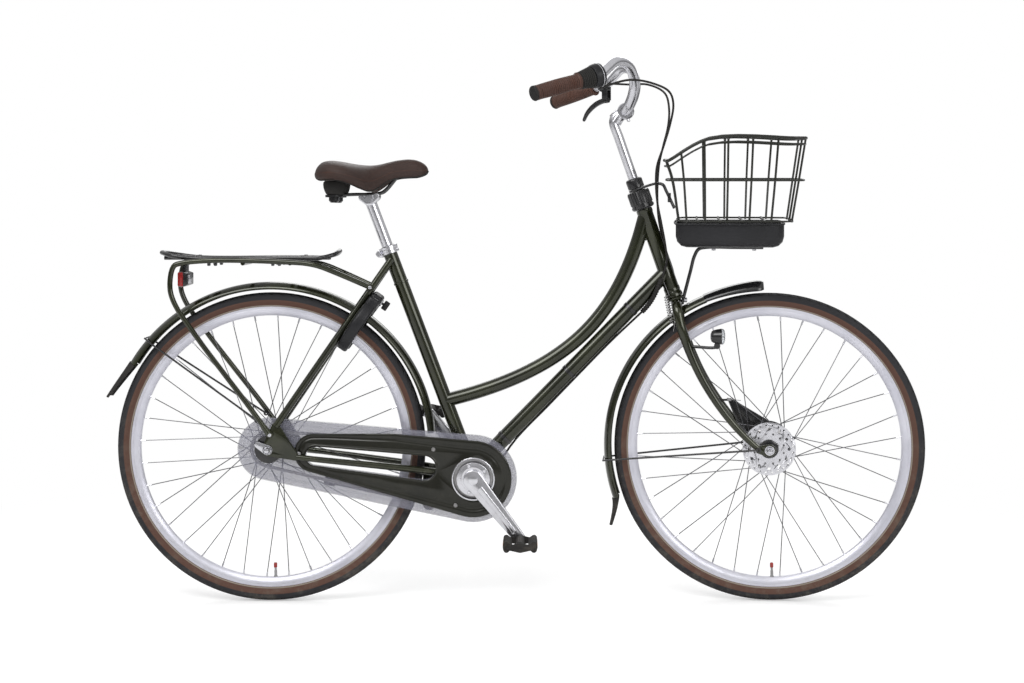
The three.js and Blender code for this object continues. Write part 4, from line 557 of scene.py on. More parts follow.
class Bench:
    """Tools that model one closed form each."""

    @staticmethod
    def clear() -> None:
        """Deselects everything."""
        if bpy.context.object and bpy.context.object.mode != "OBJECT":
            bpy.ops.object.mode_set(mode="OBJECT")
        bpy.ops.object.select_all(action="DESELECT")

    @staticmethod
    def only(piece: Piece) -> None:
        """Selects one piece and makes it active.

        Args:
            piece: the object.
        """
        Bench.clear()
        piece.select_set(True)
        bpy.context.view_layer.objects.active = piece

    @staticmethod
    def apply(piece: Piece, kind: str, **settings: object) -> None:
        """Adds a modifier and applies it.

        Args:
            piece: the object.
            kind: the modifier's type.
            settings: its properties.
        """
        Bench.only(piece)
        modifier = piece.modifiers.new(kind.title(), kind)
        for key, value in settings.items():
            setattr(modifier, key, value)
        bpy.ops.object.modifier_apply(modifier=modifier.name)

    @staticmethod
    def outward(piece: Piece) -> None:
        """Merges doubles and turns the faces outwards.

        Args:
            piece: the object.
        """
        Bench.only(piece)
        bpy.ops.object.mode_set(mode="EDIT")
        bpy.ops.mesh.select_all(action="SELECT")
        bpy.ops.mesh.remove_doubles(threshold=MERGE)
        bpy.ops.mesh.normals_make_consistent(inside=False)
        bpy.ops.object.mode_set(mode="OBJECT")

    @staticmethod
    def soften(piece: Piece, degrees: float = 32.0) -> None:
        """Shades smooth except at sharp edges."""
        Bench.only(piece)
        bpy.ops.object.shade_smooth_by_angle(angle=math.radians(degrees))

    @staticmethod
    def wires(name: str, lines: Sequence[Sequence[Point]], radius: float, closed: bool = False,
              sides: int = 3, taper: Sequence[float] | None = None) -> Piece:
        """Round bars along lines, all in one mesh.

        Args:
            name: the new object's name.
            lines: the middle line of each bar, in millimetres.
            radius: the bars' radius.
            closed: whether each line is a ring.
            sides: Blender's bevel resolution, so a bar has 4 + 2 times this many sides.
            taper: the share of the radius at each point of every line.

        Returns:
            The mesh object.
        """
        Bench.clear()
        curve = bpy.data.curves.new(name, "CURVE")
        curve.dimensions = "3D"
        curve.bevel_depth = radius * MM
        curve.bevel_resolution = sides
        curve.use_fill_caps = True
        for line in lines:
            spline = curve.splines.new("POLY")
            spline.points.add(len(line) - 1)
            for i, (dot, point) in enumerate(zip(spline.points, line)):
                dot.co = (*(Vector(point) * MM), 1)
                dot.radius = taper[i] if taper else 1.0
            spline.use_cyclic_u = closed
        piece = bpy.data.objects.new(name, curve)
        bpy.context.scene.collection.objects.link(piece)
        Bench.only(piece)
        bpy.ops.object.convert(target="MESH")
        piece = bpy.context.object
        Bench.outward(piece)
        Bench.soften(piece, 50.0)
        return piece

    @staticmethod
    def tube(name: str, points: Sequence[Point], radius: float, closed: bool = False, steps: int = 8,
             sides: int = 6, end_radius: float | None = None) -> Piece:
        """A round tube on a smooth line, which may grow thinner.

        Args:
            name: the new object's name.
            points: the line, in millimetres.
            radius: the radius at the start.
            closed: whether the line is a ring.
            steps: how many parts each stretch gets.
            sides: as for wires.
            end_radius: the radius at the end.

        Returns:
            The mesh object.
        """
        line = smooth_line(points, steps, closed) if steps > 1 else [Vector(p) for p in points]
        last = len(line) - 1
        taper = None if end_radius is None else [
            1 + (end_radius / radius - 1) * i / last for i in range(last + 1)]
        return Bench.wires(name, [line], radius, closed, sides, taper)

    @staticmethod
    def turned(name: str, rows: Outline, centre: Point, axis: Point = (0, 1, 0), steps: int = 48,
               sweep: Pair | None = None, closed: bool = True) -> Piece:
        """A profile turned about a line, wholly or through part of a circle.

        Args:
            name: the new object's name.
            rows: the profile as radius and place along the line, in millimetres.
            centre: where the line starts.
            axis: the line's direction.
            steps: how many parts the turn has.
            sweep: for part of a circle about Y, the first and last angle, 0 ahead and 90 up.
            closed: whether the profile is a ring, or runs from pole to pole.

        Returns:
            The mesh object, with the attributes ring, turn and along.
        """
        Bench.clear()
        bpy.ops.mesh.primitive_circle_add(vertices=len(rows), radius=1.0, fill_type="NOTHING")
        piece = bpy.context.object
        piece.name = name
        for vertex, (radius, place) in zip(piece.data.vertices, rows):
            vertex.co = (radius * MM, 0, place * MM)
        if not closed:
            bm = bmesh.new()
            bm.from_mesh(piece.data)
            bm.edges.ensure_lookup_table()
            last = [e for e in bm.edges if {v.index for v in e.verts} == {0, len(rows) - 1}]
            bmesh.ops.delete(bm, geom=last, context="EDGES_FACES")
            bm.to_mesh(piece.data)
            bm.free()
        part = sweep is not None
        angle = math.radians(sweep[1] - sweep[0]) if part else math.tau
        Bench.apply(piece, "SCREW", axis="Z", angle=angle, steps=steps, render_steps=steps,
                    screw_offset=0.0, use_merge_vertices=not part, merge_threshold=0.000001,
                    use_smooth_shade=True)
        for tag in ("ring", "turn", "along"):
            piece.data.attributes.new(tag, "FLOAT", "POINT")
        for vertex in piece.data.vertices:
            x, y, z = vertex.co
            i = vertex.index
            piece.data.attributes["ring"].data[i].value = math.hypot(x, y) / MM
            piece.data.attributes["turn"].data[i].value = math.atan2(y, x) / math.tau
            piece.data.attributes["along"].data[i].value = z / MM
        if part:
            Bench.only(piece)
            bpy.ops.object.mode_set(mode="EDIT")
            bpy.ops.mesh.select_all(action="DESELECT")
            bpy.ops.mesh.select_non_manifold(extend=False)
            bpy.ops.mesh.fill_holes(sides=0)
            bpy.ops.object.mode_set(mode="OBJECT")
            turn = Matrix.Rotation(
                math.radians(90), 4, "X") @ Matrix.Rotation(math.radians(sweep[0]), 4, "Z")
            mirror = Matrix.Diagonal((1, -1, 1, 1))
            piece.data.transform(Matrix.Translation(Vector(centre) * MM) @ mirror @ turn)
        else:
            turn = UP.rotation_difference(Vector(axis).normalized()).to_matrix().to_4x4()
            piece.data.transform(Matrix.Translation(Vector(centre) * MM) @ turn)
        Bench.outward(piece)
        Bench.soften(piece, 30.0)
        return piece

    @staticmethod
    def rod(name: str, start: Point, end: Point, radius: float, end_radius: float | None = None,
            edge: float = 0.6, sides: int = 32) -> Piece:
        """A turned bar between two points with eased edges.

        Args:
            name: the new object's name.
            start: the first end, in millimetres.
            end: the other end.
            radius: the radius.
            end_radius: the radius at the other end.
            edge: how much of the rims is eased.
            sides: how many parts the turn has.

        Returns:
            The mesh object.
        """
        far = radius if end_radius is None else end_radius
        length = (Vector(end) - Vector(start)).length
        rows = [(0, 0), (radius - edge, 0), (radius, edge), (far, length - edge), (far - edge, length),
                (0, length)]
        return Bench.turned(name, rows, start, Vector(end) - Vector(start), sides, closed=False)

    @staticmethod
    def slab(name: str, outline: Outline, low: float, high: float, holes: Sequence[Outline] = (),
             edge: float = 0.5, up: bool = False) -> Piece:
        """A flat plate with an outline, thickness, holes and eased edges.

        Args:
            name: the new object's name.
            outline: the outline in X and Z, or in X and Y where up is set.
            low: where one face lies along its thickness.
            high: where the other lies.
            holes: outlines of openings.
            edge: the width of the eased edge.
            up: whether the thickness runs along Z and not Y.

        Returns:
            The mesh object.
        """
        def body(title: str, shape: Outline, a: float, b: float) -> Piece:
            """One solid outline between two planes.

            Args:
                title: the new object's name.
                shape: the outline.
                a: where the first plane lies.
                b: where the second lies.

            Returns:
                The mesh object.
            """
            Bench.clear()
            bpy.ops.mesh.primitive_circle_add(vertices=len(shape), radius=1.0, fill_type="NGON")
            made = bpy.context.object
            made.name = title
            for vertex, (x, z) in zip(made.data.vertices, shape):
                vertex.co = (x * MM, z * MM, a * MM) if up else (x * MM, a * MM, z * MM)
            bpy.ops.object.mode_set(mode="EDIT")
            bpy.ops.mesh.select_all(action="SELECT")
            step = (0, 0, (b - a) * MM) if up else (0, (b - a) * MM, 0)
            bpy.ops.mesh.extrude_region_move(TRANSFORM_OT_translate={"value": step})
            bpy.ops.object.mode_set(mode="OBJECT")
            Bench.outward(made)
            return made

        low, high = sorted((low, high))
        piece = body(name, outline, low, high)
        for i, hole in enumerate(holes):
            tool = body(f"{name}_hole_{i}", hole, low - 5, high + 5)
            Bench.apply(piece, "BOOLEAN", operation="DIFFERENCE", object=tool, solver="EXACT")
            bpy.data.objects.remove(tool)
        if edge:
            Bench.apply(piece, "BEVEL", width=edge * MM, segments=2, limit_method="ANGLE",
                        angle_limit=math.radians(40))
        Bench.soften(piece, 35.0)
        return piece

    @staticmethod
    def block(name: str, centre: Point, size: Point, edge: float = 1.0,
              frame_axes: Sequence[Point] | None = None) -> Piece:
        """A box with rounded edges.

        Args:
            name: the new object's name.
            centre: its middle, in millimetres.
            size: its three sizes.
            edge: the radius of its edges.
            frame_axes: its own three directions, where it isn't square to the bike.

        Returns:
            The mesh object.
        """
        Bench.clear()
        bpy.ops.mesh.primitive_cube_add(size=1.0)
        piece = bpy.context.object
        piece.name = name
        turn = Matrix.Identity(4)
        if frame_axes:
            turn = Matrix([Vector(a).normalized() for a in frame_axes]).transposed().to_4x4()
        piece.data.transform(Matrix.Diagonal((*(Vector(size) * MM), 1)))
        Bench.apply(piece, "BEVEL", width=edge * MM, segments=3, limit_method="ANGLE")
        piece.data.transform(Matrix.Translation(Vector(centre) * MM) @ turn)
        Bench.outward(piece)
        Bench.soften(piece)
        return piece

    @staticmethod
    def skin(name: str, points: Sequence[Point], across: int, thickness: float) -> Piece:
        """A sheet through rows of points, given a thickness.

        Args:
            name: the new object's name.
            points: the points, row after row, in millimetres.
            across: how many points one row has.
            thickness: the sheet's thickness, half on each side.

        Returns:
            The mesh object.
        """
        rows = len(points) // across
        Bench.clear()
        bpy.ops.mesh.primitive_grid_add(x_subdivisions=across - 1, y_subdivisions=rows - 1, size=1.0)
        piece = bpy.context.object
        piece.name = name
        for vertex, point in zip(piece.data.vertices, points):
            vertex.co = Vector(point) * MM
        if thickness:
            Bench.apply(piece, "SOLIDIFY", thickness=thickness * MM, offset=0.0, use_even_offset=True)
        Bench.outward(piece)
        Bench.soften(piece, 40.0)
        return piece

    @staticmethod
    def join(name: str, pieces: Sequence[Piece]) -> Piece:
        """Makes several meshes one object.

        Args:
            name: the object's name.
            pieces: the objects.

        Returns:
            The joined object.
        """
        Bench.clear()
        for piece in pieces:
            piece.select_set(True)
        bpy.context.view_layer.objects.active = pieces[0]
        if len(pieces) > 1:
            bpy.ops.object.join()
        pieces[0].name = name
        return pieces[0]

    @staticmethod
    def whole(name: str, pieces: Sequence[Piece], finish: Finish, body: str, *replaced: str) -> None:
        """Joins several meshes into one piece and finishes it.

        Args:
            name: the piece's name.
            pieces: the objects.
            finish: its finish.
            body: the body that it rides on.
            replaced: the nodes that it stands for.
        """
        Bench.finish(Bench.join(name, pieces), finish, body, *replaced)

    @staticmethod
    def finish(piece: Piece, finish: Finish, body: str, *replaced: str) -> None:
        """Dresses a piece, steers it with its front-end body, puts it on that body and reports it.

        Args:
            piece: the object.
            finish: its finish.
            body: the body that it rides on, or nothing where it bends between two.
            replaced: the nodes that it stands for.
        """
        if body in FRONT_END:
            piece.data.transform(STEER)
        piece.data.materials.clear()
        piece.data.materials.append(finish.material())
        if body:
            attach(piece, body)
        if replaced:
            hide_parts(*replaced)
        LOG.info("%s: %d faces, %s", piece.name, len(piece.data.polygons), finish.name)


# Sub-assemblies


@dataclass
class Wheel:
    """A spoked wheel with its tyre, rim, hub and valve."""

    side_name: str
    axle: Vector
    flange_right: float
    flange_left: float
    flange_radius: float
    first_spoke: float
    sweep: float = 64.0
    tyre_radius: float = 352.2
    spokes: int = 36

    @property
    def body(self) -> str:
        """The body that turns."""
        return f"{self.side_name}_wheel"

    def spoke_ends(self) -> list[tuple[Vector, Vector]]:
        """Finds where each spoke leaves its flange and meets the rim, as the crossed pattern has them.

        Returns:
            Both ends of every spoke.
        """
        ends = []
        for i in range(self.spokes):
            right = i % 2
            turn = self.first_spoke + i * 360.0 / self.spokes
            way = 1 if (i // 2) % 2 else -1
            side = -self.flange_right if right else self.flange_left
            place = side + (2.2 if way < 0 else -2.2)
            hub = wheel_point(self.axle, turn + way * self.sweep, self.flange_radius - 3.0, place)
            ends.append((hub, wheel_point(self.axle, turn, 301.5, -3.0 if right else 3.0)))
        return ends

    def tyre(self) -> None:
        """Turns the tyre with its bead, pale line, brown wall and grooved tread."""
        r = self.tyre_radius
        wall = [(323.5, 11.5), (320, 12.5), (320.6, 13.6), (325, 15.2), (328, 17.2), (332, 19.2),
                (336, 19.8), (340.5, 18.2), (341.6, 18.4)]
        crown = []
        for side in (17.2, 13.2, 12.8, 11.4, 11, 5.4, 5, 3.6, 3.2):
            groove = 1.7 if side in (12.8, 11.4, 5, 3.6) else 0.0
            crown.append((r - 0.0285 * side * side - groove, side))
        tyre = Bench.turned(f"{self.side_name}_tyre_cover", both(wall + crown), self.axle, steps=144)
        Bench.finish(tyre, TYRE, self.body, f"{self.side_name}_tyre")

    def rim(self) -> None:
        """Turns the hollow rim, with nipples and a valve standing in it."""
        half = [(299.4, 4.6), (300.2, 5.6), (306, 9.6), (312.5, 12), (314, 12), (314.6, 11.6),
                (322.4, 11.6), (324.2, 12.2), (324.6, 11.4), (322.6, 9.6), (317.6, 8.4)]
        ring = Bench.turned(f"{self.side_name}_rim_ring", both(half), self.axle, steps=128)
        Bench.finish(ring, RIM, self.body, f"{self.side_name}_rim")
        bars = []
        for hub, rim in self.spoke_ends():
            lean = (hub - rim).normalized()
            bars.append([rim - lean * 3.5, rim + lean * 13.0])
        nipples = Bench.wires(f"{self.side_name}_nipples", bars, 2.1, sides=1)
        Bench.finish(nipples, ALLOY, self.body)
        stem = wheel_point(self.axle, -88.3, 299.5)
        inward = (self.axle - stem).normalized()
        valve = Bench.turned(
            f"{self.side_name}_valve", [(0, 0), (4.4, 0), (4.4, 2.2), (3.3, 2.6), (3.3, 14),
                (2.6, 14.6), (2.6, 22), (0, 22.2)], stem, inward, 20, closed=False)
        Bench.finish(valve, STEEL, self.body)
        cap = Bench.turned(
            f"{self.side_name}_valve_cap", [(0, 21.6), (3.6, 21.6), (4, 22.4), (4, 31), (2.8, 32.4),
                (0, 32.4)], stem, inward, 20, closed=False)
        Bench.finish(cap, RED, self.body)

    def hub(self) -> None:
        """Lays the crossed spokes and turns the hub between its flanges."""
        ends = self.spoke_ends()
        lines = []
        for hub, rim in ends:
            lean = (rim - hub).normalized()
            side = 1.0 if hub.y > 0 else -1.0
            lines.append([hub + Vector((0, -side * 2.4, 0)), hub, hub + lean * 4.0, rim])
        spokes = Bench.wires(f"{self.side_name}_spokes", lines, 1.05, sides=1)
        Bench.finish(spokes, SPOKE, self.body, f"{self.side_name}_hub")
        if self.side_name == "rear":
            self.gear_hub()
        else:
            self.front_hub()

    def gear_hub(self) -> None:
        """Turns the black gear hub with its two flanges."""
        rows = [(5.6, -32.5), (13, -32.5), (14, -31), (14, -28.8), (31.2, -28.6), (31.8, -27.2),
                (31.2, -25.6), (25, -24.4), (22.4, -21), (21.6, -12), (22.8, -9), (22.8, 9), (21.6, 12),
                (22.4, 24), (25, 27.4), (31.2, 28.6), (31.8, 30), (31.2, 31.4), (15, 31.8), (14, 34),
                (12, 35.6), (5.6, 35.6)]
        shell = Bench.turned("rear_gear_hub", rows, self.axle, steps=72)
        Bench.finish(shell, ENAMEL, self.body)

    def front_hub(self) -> None:
        """Turns the silver flange with its round windows, and the dark middle."""
        drilled = ((45, 0, 3.6, 18), (34, 0.26, 2.4, 12), (54, 0.13, 2, 12), (54, 0.39, 2, 12))
        shapes = [disc((0, 0), 60.0, 80)]
        for i in range(12):
            for radius, step, size, parts in drilled:
                turn = math.tau * i / 12 + step
                shapes.append(disc((radius * math.cos(turn), radius * math.sin(turn)), size, parts))
        shapes.append(disc((0, 0), 20.0, 48))
        rim, *windows = [[(x + self.axle.x, z + self.axle.z) for x, z in shape] for shape in shapes]
        flange = Bench.slab("front_flange", rim, -33.6, -31.0, windows, 0.4)
        Bench.finish(flange, ALLOY, self.body)
        cap = [(5.6, -36.2), (15, -36.2), (19, -35.2), (21.4, -34.2), (21.4, -33), (19.6, -31),
               (5.6, -31)]
        Bench.finish(Bench.turned("front_hub_cap", cap, self.axle, steps=64), ENAMEL, self.body)
        rows = [(5.6, -30.6), (19, -30.6), (24, -30), (30.4, -29.2), (31.6, -28.6), (31, -27),
                (35.4, -24), (36, -14), (34.4, -10), (34.4, 8), (36, 14), (43.4, 18.6), (44.2, 20.6),
                (43.4, 22.8), (22, 23.6), (20, 24.6), (5.6, 24.6)]
        core = Bench.turned("front_hub_shell", rows, self.axle, steps=72)
        Bench.finish(core, STEEL, self.body)

    def build(self) -> None:
        """Makes the whole wheel."""
        self.tyre()
        self.rim()
        self.hub()


@dataclass
class FrameSet:
    """The brazed frame with its curved top tube, stays, dropouts and clips."""

    head_radius: float = 17.5
    down_radius: float = 17.5
    top_radius: float = 16.0
    seat_radius: float = 15.9
    down_end: Point = (439.8, 0, 749.4)
    top_line: tuple[Point, ...] = (
        (392.9, 0, 883.4), (374.6, 0, 819.2), (350.9, 0, 756.8), (320.4, 0, 697.5), (281.9, 0, 643),
        (235.4, 0, 595.1), (182.2, 0, 554.9), (124.1, 0, 522), (62.9, 0, 495.4), (-0.3, 0, 473.9),
        (-64.7, 0, 456.2))
    stay_line: tuple[Point, ...] = (
        (-20, 24, 285), (-57.4, 29.6, 292), (-94.9, 35, 298.7), (-132.7, 39.9, 304.2),
        (-170.6, 44.7, 309.1), (-208.5, 49.4, 313.7), (-246.4, 54, 318.2), (-284.4, 58.5, 322.6),
        (-322.4, 62.7, 327), (-360.4, 66.3, 331.5), (-398.6, 67.5, 336.1))

    def tubes(self) -> list[Piece]:
        """Lays the main tubes.

        Returns:
            Their objects.
        """
        wide, slim = self.head_radius, self.seat_radius
        head = [(13.8, 0), (17.2, 0), (18.6, 1.2), (18.6, 9.5), (wide, 11.5), (wide, 188.5),
                (18.6, 190.5), (18.6, 198.6), (17.2, 199.8), (13.8, 199.8)]
        seat = [(0, 14), (slim, 14), (slim, 559.8), (13.9, 559.8), (13.9, 420), (0, 420)]
        shell = both([(17.4, -36.4), (20.6, -36.4), (21.5, -35.4)])
        cup = [(13.8, -12.2), (19, -12.2), (20.2, -11.2), (20.2, -6.4), (17.6, 0.3), (13.8, 0.3)]
        return [
            Bench.turned("head_tube", head, HEAD_BOTTOM, HEAD_UP, 48),
            Bench.turned("seat_tube", seat, BRACKET, SEAT_UP, 48, closed=False),
            Bench.tube("down_tube", [(4, 0, 303), self.down_end], self.down_radius, steps=1, sides=10),
            Bench.tube("top_tube", self.top_line, self.top_radius, steps=6, sides=10),
            Bench.turned("bracket_shell", shell, BRACKET, LEFT, 48),
            Bench.turned("lower_cup", cup, HEAD_BOTTOM, HEAD_UP, 48)]

    def rear_triangle(self) -> list[Piece]:
        """Lays the stays and cuts the dropouts.

        Returns:
            Their objects.
        """
        made = []
        for side in SIDES:
            made.append(Bench.tube(
                "chainstay", on_side(self.stay_line, side), 9.0, steps=3, sides=6, end_radius=6.5))
            made.append(Bench.tube(
                "seatstay", [(-444.6, 67.5 * side, 405.2), (-187.3, 19.0 * side, 780.8)], 8.0, steps=1,
                sides=6))
            tip = hull([(-444.6, 405.2, 9), (*REAR, 13.5), (-452, 372, 12), (-398.6, 336.1, 8),
                           (-425, 345, 9)], 28)
            hole = disc(REAR, 5.7, 20)
            made.append(Bench.slab("dropout", tip, 65.0 * side, 70.0 * side, [hole], 0.8))
            eye = Vector((-455.5, 67.5 * side, 384))
            made.append(Bench.rod("eyelet", eye - LEFT * 4.0, eye + LEFT * 4.0, 6.5, sides=20))
        made.append(Bench.rod("bridge", (-256, -31.9, 680.5), (-256, 31.9, 680.5), 6.0))
        return made

    def details(self) -> list[Piece]:
        """Adds the gusset bar, the stand bracket and two rings on the seat tube.

        Returns:
            Their objects.
        """
        made = [Bench.rod("head_gusset", (410.1, 0, 834.4), (378.4, 0, 823.3), 6.0)]
        bracket = hull([(-105, 213, 14), (-105, 282, 14)], 28)
        made.append(Bench.slab("stand_bracket", bracket, 31.0, 41.0, [], 1.2))
        for point, radius in (((-168, 0, 729.6), 17.4), ((-198.5, 0, 810.2), 16.6)):
            rows = [(radius - 2.0, -6), (radius, -5), (radius, -1.2), (radius - 2.0, -0.2)]
            made.append(Bench.turned("ring", rows, point, SEAT_UP, 40))
        return made

    def clips(self) -> None:
        """Puts the cable clips round the down tube."""
        foot = Vector((0, 0, 299))
        along = (Vector(self.down_end) - foot).normalized()
        rings = []
        for x, z in ((368.7, 655.4), (238.2, 502), (93.9, 348.6)):
            start = foot + along * ((Vector((x, 0, z)) - foot).dot(along))
            rings.append(Bench.turned("clip", both([(17.6, -4.5), (18.5, -4)]), start, along, 40))
        Bench.whole("cable_clips", rings, ENAMEL, "root")

    def build(self) -> None:
        """Makes the frame and its clips."""
        made = self.tubes() + self.rear_triangle() + self.details()
        Bench.whole("brazed_frame", made, PAINT, "root", "frame")
        self.clips()


@dataclass
class Fork:
    """The curved fork with its crown, ends and headset."""

    blade: tuple[Point, ...] = (
        (463.3, 0, 682.4), (465.6, 37.6, 670.5), (473.9, 48, 631.7), (486.8, 48.3, 592.2),
        (502.3, 49.8, 553.7), (520.2, 51.4, 516.2), (541, 52.6, 480.3), (564.2, 53.6, 445.8),
        (589.8, 54.2, 413.1), (618, 54.5, 382.5), (650.2, 54.5, 353.4))

    def build(self) -> None:
        """Makes the fork and the two headset pieces."""
        race = [(12, -21), (19.4, -19.6), (19.8, -14.6), (18, -12.8), (12, -12.8)]
        made = [
            Bench.rod("steerer", (463.3, 0, 682.4), (365.8, 0, 960.8), 12.5),
            Bench.turned("crown_race", race, HEAD_BOTTOM, HEAD_UP, 40)]
        for side in SIDES:
            made.append(Bench.tube(
                "blade", on_side(self.blade, side), 12.5, steps=5, sides=8, end_radius=7.5))
            tip = hull([(*FRONT, 14), (650, 353.4, 9)], 32)
            made.append(Bench.slab(
                "fork_end", tip, 52.0 * side, 57.0 * side, [disc(FRONT, 5.6, 20)], 0.8))
        Bench.whole("curved_fork", made, PAINT, "steering", "fork")
        ribs = [(13.8, 0.4), (22, 0.4), (25, 2.6), (26, 4), (26, 9), (24.6, 9.4), (24.6, 12.6),
                (26, 13), (26, 38.5), (24.6, 42.4), (22.5, 43.8), (13.8, 43.8)]
        collar = Bench.turned("ribbed_collar", ribs, (0, 0, 0), UP, 160)
        for vertex in collar.data.vertices:
            turn = math.atan2(vertex.co.y, vertex.co.x)
            reach = math.hypot(vertex.co.x, vertex.co.y) / MM
            if reach > 25.5 and vertex.co.z > 12.8 * MM and math.cos(20 * turn) < -0.2:
                vertex.co.xy = vertex.co.xy * (1 - 1.9 / reach)
        lie = UP.rotation_difference(HEAD_UP).to_matrix().to_4x4()
        collar.data.transform(Matrix.Translation(HEAD_TOP * MM) @ lie)
        Bench.finish(collar, ENAMEL, "root", "headset_collar")
        cap = Bench.turned(
            "top_cap", [(13.9, 50.8), (18.2, 50.8), (19, 51.6), (19, 69), (17.8, 71.6), (15.2, 73.6),
                (13.9, 73.9)], HEAD_TOP, HEAD_UP, 48)
        Bench.finish(cap, ENAMEL, "steering", "headset_cap")


@dataclass
class Cockpit:
    """The stem, handlebar, grips, gear changer and brake lever."""

    bar_radius: float = 11.0
    bend: tuple[Point, ...] = (
        (347.7, 24, 1118.4), (355.7, 43.6, 1131.6), (363.9, 57.2, 1151.5), (368.4, 69.4, 1173.4),
        (367.3, 86.2, 1192.4), (362.2, 105.6, 1208.1), (353.8, 127.2, 1218.7), (342.7, 149.6, 1223.5),
        (329.6, 171.2, 1221.3), (315.6, 188, 1208.4), (301.7, 203.1, 1193.2))
    out: Vector = field(default_factory=lambda: Vector((-0.7902, 0.5587, -0.2518)))
    handles: tuple[tuple[str, int, Point, float, int], ...] = (
        ("right", -1, (253.8, -237, 1178), 115.9, 22), ("left", 1, (265.4, 228.8, 1181.7), 130.5, 25))
    changer: Point = (300.1, -204.2, 1192.7)

    def on_bar(self, side: int, distance: float) -> Vector:
        """A point on one straight end of the bar.

        Args:
            side: 1 on the left, -1 on the right.
            distance: how far it lies from the bend.

        Returns:
            The point.
        """
        start = Vector(self.bend[-1]) + self.out * distance
        return Vector((start.x, start.y * side, start.z))

    def along_bar(self, side: int) -> Vector:
        """The direction of one straight end of the bar."""
        return Vector((self.out.x, self.out.y * side, self.out.z))

    def stem(self) -> None:
        """Makes the quill with its soft shoulder, the clamp and its screws."""
        clamp = Vector((347.7, 0, 1118.4))
        quill = [(385.6, 0, 904.2), (332, 0, 1057.3), (320.2, 0, 1093), (325, 0, 1107), (338, 0, 1116)]
        neck = [(324, 0, 1092), (331, 0, 1104), (342, 0, 1114)]
        band = both([(11.3, -20), (16.6, -20), (18.8, -17.5)])
        made = [
            Bench.tube("quill", quill, 11.0, steps=8, sides=8),
            Bench.turned("clamp", band, clamp, LEFT, 48),
            Bench.tube("neck", neck, 13.5, steps=6, sides=8)]
        for side in (-12, 12):
            start = clamp + Vector((4, side, -15))
            made.append(Bench.rod("screw", start, start + Vector((3, 0, -8.5)), 3.4, sides=24))
        Bench.whole("quill_stem", made, ALLOY, "steering", "stem")
        bolt = Bench.rod(
            "stem_bolt", Vector((316.2, 0, 1104.4)) + HEAD_AHEAD * 4.0, (313.6, 0, 1111.6), 5.2,
            sides=6)
        Bench.finish(bolt, STEEL, "steering")

    def bar(self) -> None:
        """Bends the handlebar in one piece."""
        half = smooth_line(self.bend, 7)
        whole = [self.on_bar(-1, 166.0), *on_side(half[::-1], -1), *half, self.on_bar(1, 166.0)]
        Bench.finish(Bench.wires("swept_handlebar", [whole], self.bar_radius, sides=9), ALLOY,
                     "steering", "handlebar")

    def grip_rows(self, length: float, ribs: int) -> list[Pair]:
        """The grip's waisted profile, with a flange and shallow ribs.

        Args:
            length: the grip's length.
            ribs: how many ribs the waist has.

        Returns:
            The rows of radius and place.
        """
        rows = [(11.9, 0.2), (17.6, 0.2), (18.9, 1.4), (18.9, 3), (17.6, 4.2), (16, 5.6)]
        rib = ((0.7, 0), (0, 0.22), (0, 0.72), (0.7, 0.94))
        first, last = 9.0, length - 14.0
        for i in range(ribs):
            share = i / ribs
            place = first + (last - first) * share
            swell = 16.0 + 0.9 * math.sin(math.pi * share)
            step = (last - first) / ribs
            rows += [(swell - low, place + step * part) for low, part in rib]
        rows += [(16, last + 1.0), (16.4, length - 8.0), (15.4, length - 3.0), (12.6, length - 0.4),
                 (0, length), (0, length - 2.5), (11.9, length - 2.7)]
        return rows

    def grips(self) -> None:
        """Turns both ribbed grips, the twist grip and the gear changer."""
        for name, side, start, length, ribs in self.handles:
            grip = Bench.turned(
                f"{name}_handgrip", self.grip_rows(length, ribs), start, self.along_bar(side), 48)
            Bench.finish(grip, GRIP, "steering", f"{name}_grip")
        right = self.along_bar(-1)
        rows = [(11.9, 0.2), (22.4, 0.2), (23.4, 1.2)]
        for i in range(7):
            low = 2.0 + i * 4.1
            swell = 23.4 - i * 0.7
            rows += [(swell, low), (swell - 0.4, low + 2.4), (swell - 1.6, low + 3.0),
                     (swell - 1.6, low + 3.6)]
        rows += [(18.4, 30.8), (17.6, 31.8), (11.9, 31.8)]
        Bench.finish(Bench.turned("turning_grip", rows, (279.4, -218.9, 1186.1), right, 56), SOLE,
                     "twist_grip", "twist_grip")
        rows = [(11.9, 0), (22.6, 0), (26.2, 3), (27, 12), (26.4, 20), (24, 25), (21.6, 26), (11.9, 26)]
        Bench.finish(Bench.turned("gear_changer", rows, self.changer, right, 56), BLACK, "steering",
                     "shifter_housing")
        ring = Bench.turned(
            "changer_ring", [(26.6, 7.4), (27.3, 7.8), (27.3, 8.8), (26.6, 9.2)], self.changer, right,
            56)
        Bench.finish(ring, ALLOY, "steering")

    def lever(self) -> None:
        """Makes the clamp with its pivot, and the curved brake blade."""
        start = Vector((292.2, 209.8, 1190.2))
        run = (Vector((279.6, 218.7, 1186.2)) - start).normalized()
        band = Bench.turned(
            "band", [(11.4, 0), (15.8, 0), (16.9, 1.2), (16.9, 14.6), (15.8, 15.8), (11.4, 15.8)],
            start, run, 48)
        pin = Vector((294.1, 208.5, 1149.5))
        axis = Vector((0.5736, 0.8192, 0)).normalized()
        down = -UP
        axes = (axis.cross(down), axis, down)
        ears = [Bench.block("ear", pin - down * 17.0 + axis * (7.2 * side), (16, 3.2, 33), 1.4, axes)
                for side in SIDES]
        bridge = Bench.block("bridge", pin - down * 30.0, (17, 17, 12), 2.4, axes)
        pivot = Bench.rod("pivot", pin - axis * 9.6, pin + axis * 9.6, 3.6, sides=24)
        Bench.whole("brake_clamp", [band, *ears, bridge, pivot], ENAMEL, "steering", "lever_clamp")
        Bench.finish(self.blade(pin, axis), ENAMEL, "brake_lever", "brake_lever")

